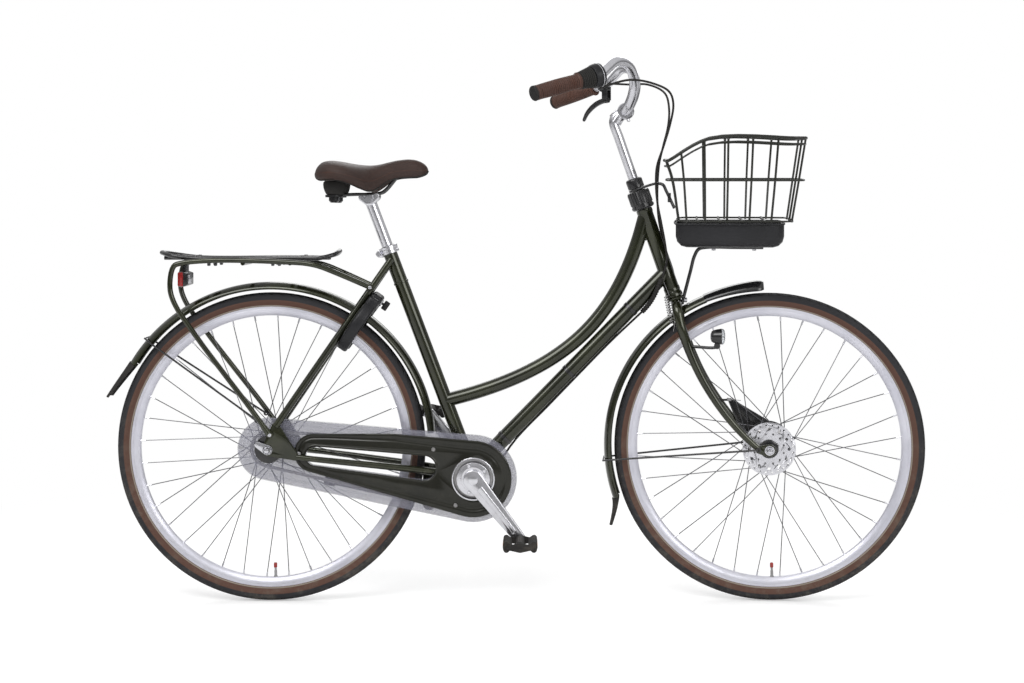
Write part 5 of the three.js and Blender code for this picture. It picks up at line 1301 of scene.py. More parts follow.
    def blade(self, pin: Vector, axis: Vector) -> Piece:
        """The brake blade, bent in two bows with a ball at its end.

        Args:
            pin: the pivot.
            axis: the pivot's direction.

        Returns:
            The mesh object.
        """
        away = Vector((0.207, -0.147, -0.967))
        run = self.along_bar(1)
        bows = ((-7, 1), (10, -2), (28, -1), (48, 5), (66, 15), (78, 27))
        line = [pin + run * forth + away * down for forth, down in bows]
        smooth = smooth_line(line, 6)
        count = len(smooth) - 1
        taper = [0.66 + 0.42 * math.sin(math.pi * min(1.0, 0.25 + 0.75 * i / count))
                 for i in range(count + 1)]
        bar = Bench.wires("blade_bar", [smooth], 6.2, sides=6, taper=taper)
        knob = Bench.turned(
            "blade_end", [(0, -4), (2.8, -2.8), (4, 0), (2.8, 2.8), (0, 4)], smooth[-1], run, 20,
            closed=False)
        knuckle = Bench.rod("knuckle", pin - axis * 4.2, pin + axis * 4.2, 6.0, sides=24)
        return Bench.join("brake_blade", [knuckle, bar, knob])

    def ends(self) -> None:
        """Closes both grips with black end caps."""
        caps = []
        rows = [(15.2, -4), (16.6, -3.2), (16.8, 0), (15.4, 2.2), (10, 3.6), (0, 4), (0, -4)]
        for _, side, start, length, _ in self.handles:
            out = self.along_bar(side)
            caps.append(Bench.turned(
                "end_cap", rows, Vector(start) + out * length, out, 40, closed=False))
        Bench.whole("grip_caps", caps, SOLE, "steering")

    def build(self) -> None:
        """Makes the whole cockpit."""
        self.stem()
        self.bar()
        self.grips()
        self.ends()
        self.lever()


@dataclass
class Mudguards:
    """Both mudguards with their nose, flaps and stays."""

    radius: float = 376.0
    depth: float = 16.0
    half_width: float = 24.5
    wall: float = 1.6

    def rows(self, radius: float, half_width: float, wall: float) -> list[Pair]:
        """The round section with rolled edges.

        Args:
            radius: the crown's radius about the axle.
            half_width: half of the section's width.
            wall: its thickness.

        Returns:
            The rows of radius and place.
        """
        outer = []
        inner = []
        half = 12
        for i in range(-half, half + 1):
            turn = math.radians(90.0 * i / half)
            drop = self.depth * (1 - math.cos(turn))
            outer.append((radius - drop, half_width * math.sin(turn)))
            inner.append((radius - wall - drop * 0.96, (half_width - wall) * math.sin(turn)))
        return [*outer, *reversed(inner)]

    def guard(self, name: str, axle: Vector, sweep: Pair, body: str, node: str) -> None:
        """One curved stretch of mudguard.

        Args:
            name: the piece's name.
            axle: the wheel's middle.
            sweep: first and last angle.
            body: the body that it rides on.
            node: the node that it stands for.
        """
        rows = self.rows(self.radius, self.half_width, self.wall)
        Bench.finish(Bench.turned(name, rows, axle, steps=96, sweep=sweep), PAINT, body, node)

    def flap(self, name: str, axle: Vector, start: float, end: float, radius: float, body: str) -> None:
        """The soft flap that hangs from a mudguard's end.

        Args:
            name: the piece's name.
            axle: the wheel's middle.
            start: the angle where it leaves the mudguard.
            end: the angle of its tip.
            radius: the tip's radius.
            body: the body that it rides on.
        """
        rings = []
        count, half = 14, 6
        for i in range(count + 1):
            share = i / count
            angle = start + (end - start) * share
            middle = self.radius - 0.6 + (radius - self.radius) * share ** 1.6
            width = (self.half_width - 2.4) * (1.0 + 0.10 * share)
            curl = self.depth * (1.0 - 0.55 * share)
            for k in range(-half, half + 1):
                turn = math.radians(90.0 * k / half)
                reach = middle - curl * (1 - math.cos(turn)) + 2.0
                rings.append(wheel_point(axle, angle, reach, width * math.sin(turn)))
        shape = Bench.skin(name, rings, 2 * half + 1, 2.2)
        Bench.finish(shape, SOLE, body, name.replace("soft_", ""))

    def nose(self) -> None:
        """The black nose, deeper towards its blunt and slightly raised tip."""
        rings = []
        count, half = 22, 12
        for i in range(count + 1):
            share = i / count
            close = max(0.0, (share - 0.9) / 0.1)
            width = self.half_width * (1.0 - 0.3 * close * close) + 0.6
            curl = self.depth + 7.0 * share - 6.0 * close * close
            middle = self.radius + 0.8 + 4.0 * share * share - 3.5 * close * close
            for k in range(-half, half + 1):
                turn = math.radians(90.0 * k / half)
                reach = middle - curl * (1 - math.cos(turn))
                rings.append(wheel_point(
                    FRONT_AXLE, 113.4 - 21.4 * share, reach, width * math.sin(turn)))
        nose = Bench.skin("guard_nose", rings, 2 * half + 1, 2.0)
        Bench.finish(nose, ENAMEL, "steering", "mudguard_nose")

    def stay(self, name: str, node: str, line: Sequence[Point], body: str) -> None:
        """The stay wires on both sides, with eyes, joined over the mudguard.

        Args:
            name: the piece's name.
            node: the node that it stands for.
            line: the wire on the left, from its foot to the mudguard's edge and its crown.
            body: the body that it rides on.
        """
        run = on_side(line, 1) + on_side(line, -1)[::-1]
        wire = Bench.wires(name, [run], 2.3, sides=4)
        eyes = [Bench.turned("eye", both([(2.4, -2.2), (5.6, -2)]), p, LEFT, 24)
                for p in (run[0], run[-1])]
        Bench.whole(name, [wire, *eyes], ENAMEL, body, node)

    def build(self) -> None:
        """Makes all of the mudguard pieces."""
        self.guard("rear_guard", REAR_AXLE, (5, 149), "root", "rear_mudguard")
        self.guard("front_guard", FRONT_AXLE, (113, 199), "steering", "front_mudguard")
        self.nose()
        self.flap("soft_rear_flap", REAR_AXLE, 149.2, 163.0, 392.0, "root")
        self.flap("soft_front_flap", FRONT_AXLE, 199.2, 207.0, 405.0, "steering")
        self.stay("rear_stay_wire", "rear_guard_stay",
                  [(-486.6, 68.9, 419.1), (-734.3, 26.8, 588.3), (-748.1, 26.8, 600.3)], "root")
        self.stay("front_stay_wire", "front_guard_stay",
                  [(648.2, 64.3, 354), (314.8, 26.8, 320.7), (296.5, 26.8, 319.1)], "steering")


def inset_ring(outline: Outline, steps: Outline, share: Sequence[float] | None = None) -> list[Vector]:
    """Rows of points that follow an outline, each row inset from it and at its own depth.

    Args:
        outline: the closed outline in X and Z.
        steps: each row's inset and its place along Y.
        share: how much of the inset each point of the outline takes.

    Returns:
        The points, one outline point's rows after the other, with the first repeated at the end.
    """
    count = len(outline)
    area = sum(outline[i - 1][0] * outline[i][1] - outline[i][0] * outline[i - 1][1]
               for i in range(count))
    way = 1.0 if area > 0 else -1.0
    points = []
    for k in range(count + 1):
        i = k % count
        (ax, az), (x, z), (bx, bz) = outline[i - 1], outline[i], outline[(i + 1) % count]
        normal = Vector((bz - az, ax - bx)).normalized() * way
        for inset, place in steps:
            inner = inset * (share[i] if share else 1.0)
            points.append(Vector((x - normal.x * inner, place, z - normal.y * inner)))
    return points


def even(outline: Outline, step: float) -> list[Pair]:
    """The same outline with its points spread evenly.

    Args:
        outline: the closed outline.
        step: about how far apart they are.

    Returns:
        The new outline.
    """
    spots = [Vector(p) for p in outline]
    result = []
    for i, spot in enumerate(spots):
        last = spots[i - 1]
        parts = max(1, round((spot - last).length / step))
        result += [tuple(last.lerp(spot, k / parts)) for k in range(parts)]
    return result


@dataclass
class Chaincase:
    """The smoked shell and the painted cover with its pressed lips."""

    rear: Circle = (*REAR, 70)
    front: Circle = (*CRANK, 98)
    window: tuple[Circle, ...] = ((-356.6, 337.1, 22), (-112, 310, 28))
    cover: tuple[Circle, ...] = ((*CRANK, 86), (-360.6, 344.1, 43), (-182.6, 344.1, 43))

    @staticmethod
    def rolled(name: str, outline: Outline, steps: Outline, wall: float,
               share: Sequence[float] | None = None) -> Piece:
        """A rolled edge along an outline.

        Args:
            name: the object's name.
            outline: the outline that it follows.
            steps: its section, as inset and place along Y.
            wall: its thickness.
            share: how much of the inset each point of the outline takes.

        Returns:
            The mesh object.
        """
        return Bench.skin(name, inset_ring(outline, steps, share), len(steps), wall)

    @staticmethod
    def moved(outline: Outline, inset: float, share: Sequence[float] | None = None) -> list[Pair]:
        """The outline inset by one distance."""
        return [(p.x, p.z) for p in inset_ring(outline, [(inset, 0)], share)[:-1]]

    def shell(self) -> None:
        """Makes the hollow shell from two faces and rounded walls."""
        outline = even(hull([self.rear, self.front], 96), 12.0)
        window = even(hull(self.window, 48), 8.0)
        wall = [(12, -38.6), (5, -38.6), (1.6, -39.4), (0.2, -41.6), (0, -44), (0, -50), (0.2, -52.6),
                (1.6, -54.8), (5, -55.6), (12, -55.6)]
        lip = [(-5, -38.6), (-1.2, -38.8), (0, -40.2), (0, -54), (-1.2, -55.4), (-5, -55.6)]
        made = [self.rolled("rim", outline, wall, 1.3), self.rolled("lip", window, lip, 1.3)]
        flat, opening = self.moved(outline, 11.5), self.moved(window, -4.6)
        faces = (("outer_face", -56.2, [disc(CRANK, 45.0, 64), disc(REAR, 13.2, 32)]),
                 ("inner_face", -39.2, [disc(CRANK, 22.0, 48), disc(REAR, 30.0, 48)]))
        for name, face, holes in faces:
            made.append(Bench.slab(name, flat, face, face + 1.3, [opening, *holes], 0.2))
        Bench.whole("smoked_case", made, SMOKE, "root", "chaincase_shell")

    def plate(self) -> None:
        """Presses the cover, with a soft rim, a groove inside it and a lip round the window."""
        outline = even(hull(self.cover, 96), 9.0)
        share = [0.48 + 0.52 * min(1.0, max(0.0, (x + 330.0) / 300.0)) for x, z in outline]
        steps = [(0.8, -56.6), (0, -57.4), (0, -58.4), (1, -59.4), (3, -59.8), (11, -59.8),
                 (13.5, -59.2), (15.5, -57.9), (21, -57.9), (23.5, -58.9), (25.5, -59.4)]
        ring = self.rolled("ring", outline, steps, 0.7, share)
        window = even(hull(self.window, 48), 8.0)
        openings = [self.moved(window, -3.4), disc(CRANK, 47.5, 72)]
        middle = Bench.slab("middle", self.moved(outline, 25.0, share), -59.7, -59.0, openings, 0.15)
        lip = [(-4, -59.4), (-2.6, -60.2), (-1.2, -60.3), (0, -59.4), (0, -56.6)]
        edge = self.rolled("edge", window, lip, 0.7)
        collar = [(-3.4, -59.3), (-2, -60), (-0.6, -60), (0, -59.2), (0, -56.6)]
        Bench.finish(self.rolled("mouth", even(disc(CRANK, 45.0, 96), 4.0), collar, 0.7), ALLOY, "root")
        Bench.whole("pressed_cover", [ring, middle, edge], COVER, "root", "chaincase_cover")
        studs = []
        for x, z, out in ((-392.5, 343, 66.4), (-90, 352, 59.2), (-40, 226, 59.2)):
            studs.append(Bench.turned(
                "stud", [(0, 2.8), (2.8, 2.4), (4.6, 0.8), (4.8, -1), (0, -1)], (x, -out, z),
                (0, -1, 0), 24, closed=False))
        Bench.whole("cover_studs", studs, STEEL, "root")

    def build(self) -> None:
        """Makes the shell and its cover."""
        self.shell()
        self.plate()


@dataclass
class Cranks:
    """Cranks, spider, spindle and pedals."""

    eye: Pair = (106.1, 152.1)
    eye_radius: float = 13.0
    tread_pitch: float = 9.4

    def pin(self, sign: int, share: float = 1.0) -> Pair:
        """A spot on one crank, by its share of the way to the pedal, in X and Z."""
        return self.eye[0] * sign * share, CRANK[1] + (self.eye[1] - CRANK[1]) * sign * share

    def arm(self, name: str, side: int, sign: int) -> list[Piece]:
        """One forged arm with a soft raised rib and its dust cap.

        Args:
            name: the arm's name.
            side: 1 on the left, -1 on the right.
            sign: 1 where the arm points forwards and down, -1 for the opposite.

        Returns:
            Its objects.
        """
        x, z = self.pin(sign)
        steps = ((0, 22), (0.2, 20), (0.6, 15), (1, self.eye_radius))
        outline = hull([(*self.pin(sign, share), radius) for share, radius in steps], 56)
        arm = Bench.slab(name, outline, 63.4 * side, 74.6 * side, [], 3.2)
        lean = Vector((x, 0, z - CRANK[1])).normalized()
        start = BRACKET + LEFT * (74.4 * side) + lean * 24.0
        end = Vector((x, 74.2 * side, z)) - lean * 22.0
        rib = Bench.wires("rib", [[start, end]], 7.5, sides=5, taper=[1, 0.72])
        for vertex in rib.data.vertices:
            vertex.co.y = 74.4 * MM * side + (vertex.co.y - 74.4 * MM * side) * 0.24
        cap = Bench.turned(
            "cap", [(0, 2.6), (5, 2.4), (10.4, 1.4), (11.2, 0), (0, 0)], BRACKET + LEFT * (74.2 * side),
            (0, side, 0), 40, closed=False)
        pin = Bench.rod("pin", (x, 60.0 * side, z), (x, 79.5 * side, z), 6.0)
        socket = Bench.rod("socket", (x, 72.0 * side, z), (x, 75.6 * side, z), 5.0, sides=6)
        return [arm, rib, cap, pin, socket]

    def right(self) -> None:
        """Makes the right arm with its spider disc and the bolts."""
        made = self.arm("right_arm", -1, 1)
        made.append(Bench.slab("spider", disc(CRANK, 38.0, 72), -63.8, -58.6, [], 1.6))
        made.append(Bench.turned(
            "shoulder", [(0, 0), (27, 0), (29, -2), (38, -3.6), (38, -10), (16, -16), (0, -16)],
            BRACKET - LEFT * 64.4, -LEFT, 64, closed=False))
        for i in range(5):
            turn = math.tau * (i + 0.5) / 5
            spot = BRACKET + Vector((31.0 * math.cos(turn), -64, 31.0 * math.sin(turn)))
            made.append(Bench.rod("bolt", spot, spot - LEFT * 1.8, 3.6, sides=20))
        Bench.whole("right_crank_arm", made, ALLOY, "cranks", "right_crank")

    def left(self) -> None:
        """Makes the left arm and the spindle."""
        made = self.arm("left_arm", 1, -1)
        made.append(Bench.rod("spindle", BRACKET - LEFT * 46.0, BRACKET + LEFT * 64.0, 8.4))
        Bench.whole("left_crank_arm", made, ALLOY, "cranks", "left_crank")

    def pedal(self, name: str, side: int, sign: int) -> None:
        """One platform pedal with lobed rubber treads and amber reflectors.

        Args:
            name: the pedal's body.
            side: 1 on the left, -1 on the right.
            sign: 1 where its crank points forwards and down.
        """
        x, z = self.pin(sign)
        treads = []
        for ahead in (-1, 1):
            middle = x + ahead * 27.6
            outer = ((3.4, 6.2, 6.6), (-3.6, 1, 6.6), (2.6, -5.2, 6.8), (4.2, 0, 6.6))
            inner = ((2.8, 5, 5.4), (-3, 0, 5.6), (3.4, -4.4, 5.4))
            lug, core = (
                hull([(middle + ahead * forth, z + rise, wide) for forth, rise, wide in lobes], parts)
                for lobes, parts in ((outer, 20), (inner, 16)))
            for i in range(9):
                low = 84.4 + i * self.tread_pitch
                treads.append(Bench.slab("lug", lug, low * side, (low + 8.2) * side, [], 1.3))
            treads.append(Bench.slab("strip", core, 84.0 * side, 169.0 * side, [], 0.8))
        tube = Bench.turned(
            "sleeve", [(6.3, 0), (9.6, 0.6), (11, 2.4), (10.2, 24), (10.2, 66), (11, 84), (9, 87.6),
                (0, 88.4), (0, 86), (6.3, 85)], (x, 80.0 * side, z), (0, side, 0), 40)
        cheek = hull([(x - 26.0, z, 5.2), (x + 26.0, z, 5.2), (x, z, 10.8)], 28)
        ends = []
        for place, holes in ((80.4, [disc((x, z), 6.3, 20)]), (170.6, [])):
            ends.append(Bench.slab("cheek", cheek, place * side, (place + 3.4) * side, holes, 0.9))
        Bench.whole(f"{name}_platform", [*treads, tube, *ends], SOLE, name, name)
        lamps = []
        for ahead in (-1, 1):
            lamps.append(Bench.block(
                "reflector", (x + ahead * 37.8, 127.0 * side, z), (1.4, 44, 9), 0.5))
        Bench.whole(f"{name}_reflectors", lamps, AMBER, name)

    def build(self) -> None:
        """Makes both cranks and both pedals."""
        self.right()
        self.left()
        self.pedal("right_pedal", -1, 1)
        self.pedal("left_pedal", 1, -1)


@dataclass
class Carrier:
    """The rear carrier, its sprung platform and the rear light."""

    tube_radius: float = 6.0
    deck: float = 782.9
    clamps: Pair = (-632.6, -388.4)
    line: tuple[Point, ...] = (
        (-456.6, 76.3, 387.1), (-511.2, 72.5, 460.6), (-567.3, 68.7, 533.1), (-622.7, 64.9, 606),
        (-673.9, 61.2, 681.9), (-684, 60, 718), (-675.7, 60, 765), (-660, 60, 772), (-586.1, 60, 778.5),
        (-494.4, 60, 777.8), (-402.7, 60, 773.8), (-380, 60, 772), (-350, 60, 766),
        (-314.7, 55.5, 752.4), (-231.7, 41.7, 716))

    def rack(self) -> None:
        """Bends both side tubes, flattens their feet and adds the cross bars."""
        made = []
        for side in SIDES:
            made.append(Bench.tube(
                "side", on_side(self.line, side), self.tube_radius, steps=5, sides=6))
            foot = hull([(-456.6, 387.1, 7.4), (-470, 405, 6.4)], 24)
            made.append(Bench.slab("foot", foot, 73.0 * side, 79.0 * side, [], 1.4))
            tip = Vector((-234, 42.1 * side, 717))
            made.append(Bench.rod("tip", tip - LEFT * 5.0, tip + LEFT * 5.0, 7.6, sides=28))
        for x in (-660, -520, -413.6):
            made.append(Bench.rod("bar", (x, -60, 772), (x, 60, 772), 5.0, sides=24))
        Bench.whole("carrier_rack", made, PAINT, "root", "rear_carrier")
        bolts = []
        for side in SIDES:
            for x, y, z in ((-456.6, 79, 387.1), (-234, 47.4, 717)):
                spot = Vector((x, y * side, z))
                bolts.append(Bench.turned(
                    "bolt", [(0, 3.6), (2.4, 3.4), (4, 2.2), (4.4, 0), (0, 0)], spot, (0, side, 0), 24,
                    closed=False))
        Bench.whole("carrier_bolts", bolts, ALLOY, "root")

    def platform(self) -> None:
        """Bends the platform's loop with its raised hooks, the long rods and the clamps."""
        shares = [(1, 0, 0.75), (0.982, 0.5, 0.7), (0.928, 1, 0.4), (0.8, 1, 0), (0.324, 1, 0),
                  (0.162, 1, 0), (0.108, 0.993, 0), (0.027, 0.75, 0.5), (0, 0, 1)]
        half = [(-307.0 - 407.0 * back, 44.0 * out, self.deck + 16.0 * rise)
                for back, out, rise in shares]
        points = half + on_side(half[-2:0:-1], -1)
        made = [Bench.tube("loop", points, 5.0, True, 8, 6)]
        for side in (11, -11):
            made.append(Bench.rod(
                "long_rod", (-706.7, side, self.deck), (-329, side, self.deck), 4.4, sides=24))
        for x in self.clamps:
            made.append(Bench.block("clamp", (x, 0, self.deck), (24, 90, 8.4), 2.4))
        for x in (-600, -585, -455, -440):
            made += [Bench.block("spring_clip", (x, 38.0 * side, 771), (7, 10, 11), 2.0)
                     for side in SIDES]
        Bench.whole("sprung_platform", made, ENAMEL, "root", "carrier_platform")
        screws = []
        for x in self.clamps:
            for side in (-30, 30):
                screws.append(Bench.rod("screw", (x, side, 786.8), (x, side, 789.6), 4.2, sides=24))
        Bench.whole("platform_screws", screws, STEEL, "root")

    def light(self) -> None:
        """Makes the rear light with its lens, reflector and holder."""
        back = hull([(-652, 746, 3), (-652, 724, 3), (-663, 749, 4), (-663, 721, 4)], 32)
        lens = hull([(-668, 748, 3.4), (-668, 722, 3.4), (-662, 749, 3), (-662, 721, 3)], 36)
        glass = Bench.slab("red_lens", lens, -40.0, 40.0, [], 3.0)
        Bench.finish(glass, RED, "root", "rear_light")
        holder = [
            Bench.slab("housing", back, -36.0, 36.0, [], 2.4),
            Bench.block("post", (-660, 0, 752), (7, 40, 29), 1.2)]
        Bench.whole("light_holder", holder, ENAMEL, "root")
        plate = Bench.block("light_mirror", (-647.2, -18, 735), (3.2, 26, 20), 1.0)
        Bench.finish(plate, ALLOY, "root")

    def build(self) -> None:
        """Makes the carrier, its platform and the light."""
        self.rack()
        self.platform()
        self.light()


@dataclass
class RingLock:
    """The ring lock with its housing, key and sliding bolt."""

    centre: Vector = field(default_factory=lambda: Vector((-262.55, 0, 633.25)))
    out: Vector = field(default_factory=lambda: Vector((0.5651, 0, 0.8250)))
    ahead: Vector = field(default_factory=lambda: Vector((0.8251, 0, -0.5650)))

    def arc(self, name: str, rows: Outline, first: float, last: float, steps: int) -> Piece:
        """A section swept round part of the lock's ring.

        Args:
            name: the piece's name.
            rows: the section as radius and place along the lock's axis.
            first: the first angle, 0 away from the wheel.
            last: the last angle.
            steps: how many parts the sweep has.

        Returns:
            The mesh object.
        """
        piece = Bench.turned(name, rows, (0, 0, 0), steps=steps, sweep=(first, last))
        turn = Matrix((self.out, self.ahead, LEFT)).transposed().to_4x4()
        piece.data.transform(Matrix.Translation(self.centre * MM) @ turn)
        return piece

    def spot(self, out: float, side: float, ahead: float) -> Vector:
        """A point by its distances along the lock's own directions.

        Args:
            out: the distance away from the wheel.
            side: the distance to the left.
            ahead: the distance to the front.

        Returns:
            The point.
        """
        return self.centre + self.out * out + LEFT * side + self.ahead * ahead

    def build(self) -> None:
        """Makes the lock's body, bolt and key."""
        section = [(54, -4.8), (71.2, -4.8), (71.2, 4.8), (54, 4.8), (54, 9), (55.6, 12.2), (59, 13)]
        for corner, place in enumerate((7, -7)):
            for k in range(5):
                turn = math.radians(90.0 - 90.0 * corner - 22.5 * k)
                section.append((72.0 + 6.0 * math.cos(turn), place + 6.0 * math.sin(turn)))
        section += [(59, -13), (55.6, -12.2), (54, -9)]
        ring = self.arc("ring", section, -152.0, 152.0, 72)
        axes = (self.out, LEFT, self.ahead)
        housing = Bench.block("housing", self.spot(67.0, 0.0, 0.6), (27, 74, 28), 7.0, axes)
        shoulders = [Bench.block("shoulder", self.spot(52.0, side, 0.4), (40, 24, 27.2), 7.0, axes)
                     for side in (-46, 46)]
        Bench.whole("ring_lock_body", [ring, housing, *shoulders], BLACK, "root", "ring_lock")
        path = [(66.0 + 4.0 * math.cos(math.tau * i / 16), 4.0 * math.sin(math.tau * i / 16))
                for i in range(16)]
        Bench.finish(self.arc("locking_bolt", path, -151.0, -62.0, 40), STEEL, "lock_bolt", "lock_bolt")
        collar = Bench.rod(
            "key_collar", self.spot(66.0, 8.0, 14.2), self.spot(66.0, 8.0, 17.4), 9.0, sides=32)
        Bench.finish(collar, ALLOY, "root")
        key = [
            Bench.rod("stem", self.spot(66.0, 8.0, 17.0), self.spot(66.0, 8.0, 21.0), 3.0, sides=16),
            Bench.block("head", self.spot(66.0, 8.0, 27.0), (22, 5, 13), 2.2, axes)]
        Bench.whole("lock_key", key, BLACK, "root")


@dataclass
class Seat:
    """The seat post, its clamps, the sprung saddle and its cover."""

    spine: tuple[tuple[float, float, float, float], ...] = (
        (-358.6, 40, 976, 979), (-357, 56, 970, 984), (-352, 74, 962.5, 992), (-341, 92, 958.5, 1000.5),
        (-322, 110, 959.5, 1003.8), (-300, 117, 957.5, 1002), (-276, 113, 951, 997.6),
        (-252, 97, 940, 994.3), (-232, 76, 934, 993.4), (-212, 58, 944, 996.2), (-192, 45, 958, 1001.4),
        (-172, 36, 964, 1005.6), (-150, 30, 966, 1007.8), (-130, 25, 967, 1005.6),
        (-115, 19, 971.5, 998.6), (-108, 12, 976, 991.5), (-105.2, 5, 981, 986))
    across: tuple[Pair, ...] = (
        (0, 0.94), (0.3, 1), (0.6, 0.97), (0.84, 0.82), (0.97, 0.56), (1, 0.3), (0.96, 0.07), (0.88, 0),
        (0.78, 0.1), (0.6, 0.3))

    def loops(self) -> list[list[Vector]]:
        """Divides the saddle's sections finely both ways.

        Returns:
            The sections, each one a ring of points.
        """
        spine = smooth_line([(x, half, low) for x, half, low, top in self.spine], 5)
        tops = smooth_line([(x, half, top) for x, half, low, top in self.spine], 5)
        half = smooth_line([(side, rise, 0) for side, rise in self.across], 3)
        ring = [(p.x, p.y) for p in half]
        ring += [(-side, rise) for side, rise in reversed(ring[1:])]
        return [[Vector((s.x, s.y * side, s.z + (high.z - s.z) * rise)) for side, rise in ring]
                for s, high in zip(spine, tops)]

    def cushion(self) -> None:
        """Pads the saddle's cover, with piping and a stitched seam."""
        loops = self.loops()
        across = len(loops[0])
        points = [p for loop in loops for p in [*loop, loop[0]]]
        cover = Bench.skin("cover", points, across + 1, 0.0)
        Bench.only(cover)
        bpy.ops.object.mode_set(mode="EDIT")
        bpy.ops.mesh.select_all(action="DESELECT")
        bpy.ops.mesh.select_mode(type="EDGE")
        bpy.ops.mesh.select_non_manifold(extend=False)
        bpy.ops.mesh.fill_holes(sides=0)
        bpy.ops.object.mode_set(mode="OBJECT")
        Bench.outward(cover)
        Bench.apply(cover, "BEVEL", width=5.0 * MM, segments=3, limit_method="ANGLE",
                    angle_limit=math.radians(50))
        Bench.soften(cover, 60.0)
        cover.name = "padded_saddle"
        Bench.finish(cover, SADDLE, "saddle", "saddle")
        self.trim(loops)

    def trim(self, loops: list[list[Vector]]) -> None:
        """Runs the piping and the seam round the cover's edge, and rivets its back.

        Args:
            loops: the saddle's sections.
        """
        def run(index: int) -> list[Vector]:
            """A line round the saddle at one place of the section."""
            other = len(loops[0]) - index
            return [loop[index] for loop in loops] + [loop[other] for loop in reversed(loops)]

        piping = Bench.wires("saddle_piping", [run(20)], 1.7, closed=True, sides=3)
        Bench.finish(piping, SOLE, "saddle")
        seam = run(14)
        stitches = []
        for i in range(len(seam) - 1):
            for k in range(2):
                a, b = (seam[i].lerp(seam[i + 1], k / 2 + more) for more in (0, 0.3))
                if (b - a).length < 6.0:
                    stitches.append([a, b])
        thread = Bench.wires("saddle_stitches", stitches, 0.55, sides=0)
        Bench.finish(thread, GRIP, "saddle")

    def carriage(self) -> None:
        """Makes the rails, the spring knobs, the rubber springs and the clamp."""
        made = []
        for side in SIDES:
            line = [(-176, 9.0 * side, 968), (-184, 12.0 * side, 958), (-207, 20 * side, 933.6),
                    (-224, 24.0 * side, 929), (-270, 31.0 * side, 928), (-314, 38 * side, 926.4)]
            made.append(Bench.tube("rail", line, 3.5, steps=6, sides=4))
            knob = [(0, -3), (8, -3), (10.6, 0), (12, 1.4), (12, 10.6), (9.6, 12), (0, 12)]
            made.append(Bench.turned(
                "knob", knob, (-316, 38 * side, 911.9), UP, 36, closed=False))
            made.append(Bench.rod(
                "cup", (-316, 38 * side, 921), (-316, 38 * side, 927), 20.0, sides=40))
        Bench.whole("saddle_carriage", made, ENAMEL, "saddle", "saddle_rails")
        core = (-238.9, 917.4)
        clamp = hull([(-252, 921, 10), (-225, 923, 10), (*core, 15)], 40)
        jaws = [Bench.slab("jaw", clamp, 14.0 * side - 13.8, 14.0 * side + 13.8, [disc(core, 8.2, 24)],
                    2.0) for side in SIDES]
        middle = Vector((core[0], 0, core[1]))
        for out in (LEFT, -LEFT):
            jaws.append(Bench.rod("nut", middle + out * 27.6, middle + out * 34.0, 8.0, sides=6))
            jaws.append(Bench.rod("washer", middle + out * 27.4, middle + out * 29.2, 10.4, sides=32))
        Bench.whole("saddle_clamp", jaws, ALLOY, "saddle")
        for side, name in ((1, "left"), (-1, "right")):
            rows = [(0, 0), (17, 0), (20.4, 2), (23.6, 8), (26, 16), (27, 23), (26.4, 28), (24, 31),
                    (0, 32)]
            ball = Bench.turned(
                f"{name}_rubber_spring", rows, (-314, 38 * side, 926.6), UP, 48, closed=False)
            Bench.finish(ball, SOLE, "saddle", f"{name}_elastomer")

    def post(self) -> None:
        """Makes the post, its cross core and the clamp at the seat tube."""
        pin = Bench.rod("pin", (-144.9, 0, 668.5), (-238.9, 0, 917.4), 12.7, edge=1.0, sides=48)
        core = Bench.rod("core", (-238.9, -24, 917.4), (-238.9, 24, 917.4), 8.0)
        Bench.whole("plated_seat_post", [pin, core], ALLOY, "seat_post", "seat_post")
        rows = [(17, 0), (20.8, 0), (22, 1.2), (22, 6), (21.2, 7), (21.2, 11), (22, 12), (22, 16.8),
                (20.8, 18), (17, 18)]
        ring = Bench.turned("ring", rows, (-191.6, 0, 792), SEAT_UP, 56)
        lug = [Bench.block("lug", (-213, 7.0 * side, 791.8), (14, 6, 16), 1.6) for side in SIDES]
        bolt = Bench.rod("bolt", (-217.7, -16, 791.8), (-217.7, 16, 791.8), 4.6, sides=24)
        head = Bench.rod("head", (-217.7, -20, 791.8), (-217.7, -14, 791.8), 6.2, sides=6)
        Bench.whole("seat_collar", [ring, *lug, bolt, head], ALLOY, "root", "seat_clamp")

    def build(self) -> None:
        """Makes the whole seat."""
        self.cushion()
        self.carriage()
        self.post()


@dataclass
class Stand:
    """The side stand with its rubber foot and pivot bolt."""

    eye: Point = (-105, 50.4, 213)
    foot: Point = (-348.3, 50.4, 266)

    def build(self) -> None:
        """Makes the leg, foot and pivot bolt."""
        axis = Vector((0, 0.9135, 0.4067))
        eye, foot = Vector(self.eye), Vector(self.foot)
        run = (foot - eye).normalized()
        made = [
            Bench.tube("leg", [eye + run * 3.0, eye + run * 40.0, eye + run * 120.0, foot], 6.0,
                       steps=5, sides=6),
            Bench.turned("eye", both([(0, -6), (7.6, -6), (9, -4.6)]), eye, axis, 36, closed=False)]
        Bench.whole("side_stand", made, ENAMEL, "kickstand", "kickstand")
        rows = [(6, 0), (9, 0.4), (10, 2), (10, 6), (9.2, 7), (9.2, 9), (10, 10), (10, 16), (9.2, 17),
                (9.2, 19), (10, 20), (10, 24.6), (8.6, 26), (0, 26), (0, 0)]
        Bench.finish(Bench.turned("stand_foot", rows, foot - run * 26.0, run, 36), SOLE, "kickstand")
        bolt = Bench.rod("stand_bolt", eye + axis * 5.8, eye + axis * 9.0, 5.6, sides=6)
        Bench.finish(bolt, STEEL, "kickstand")


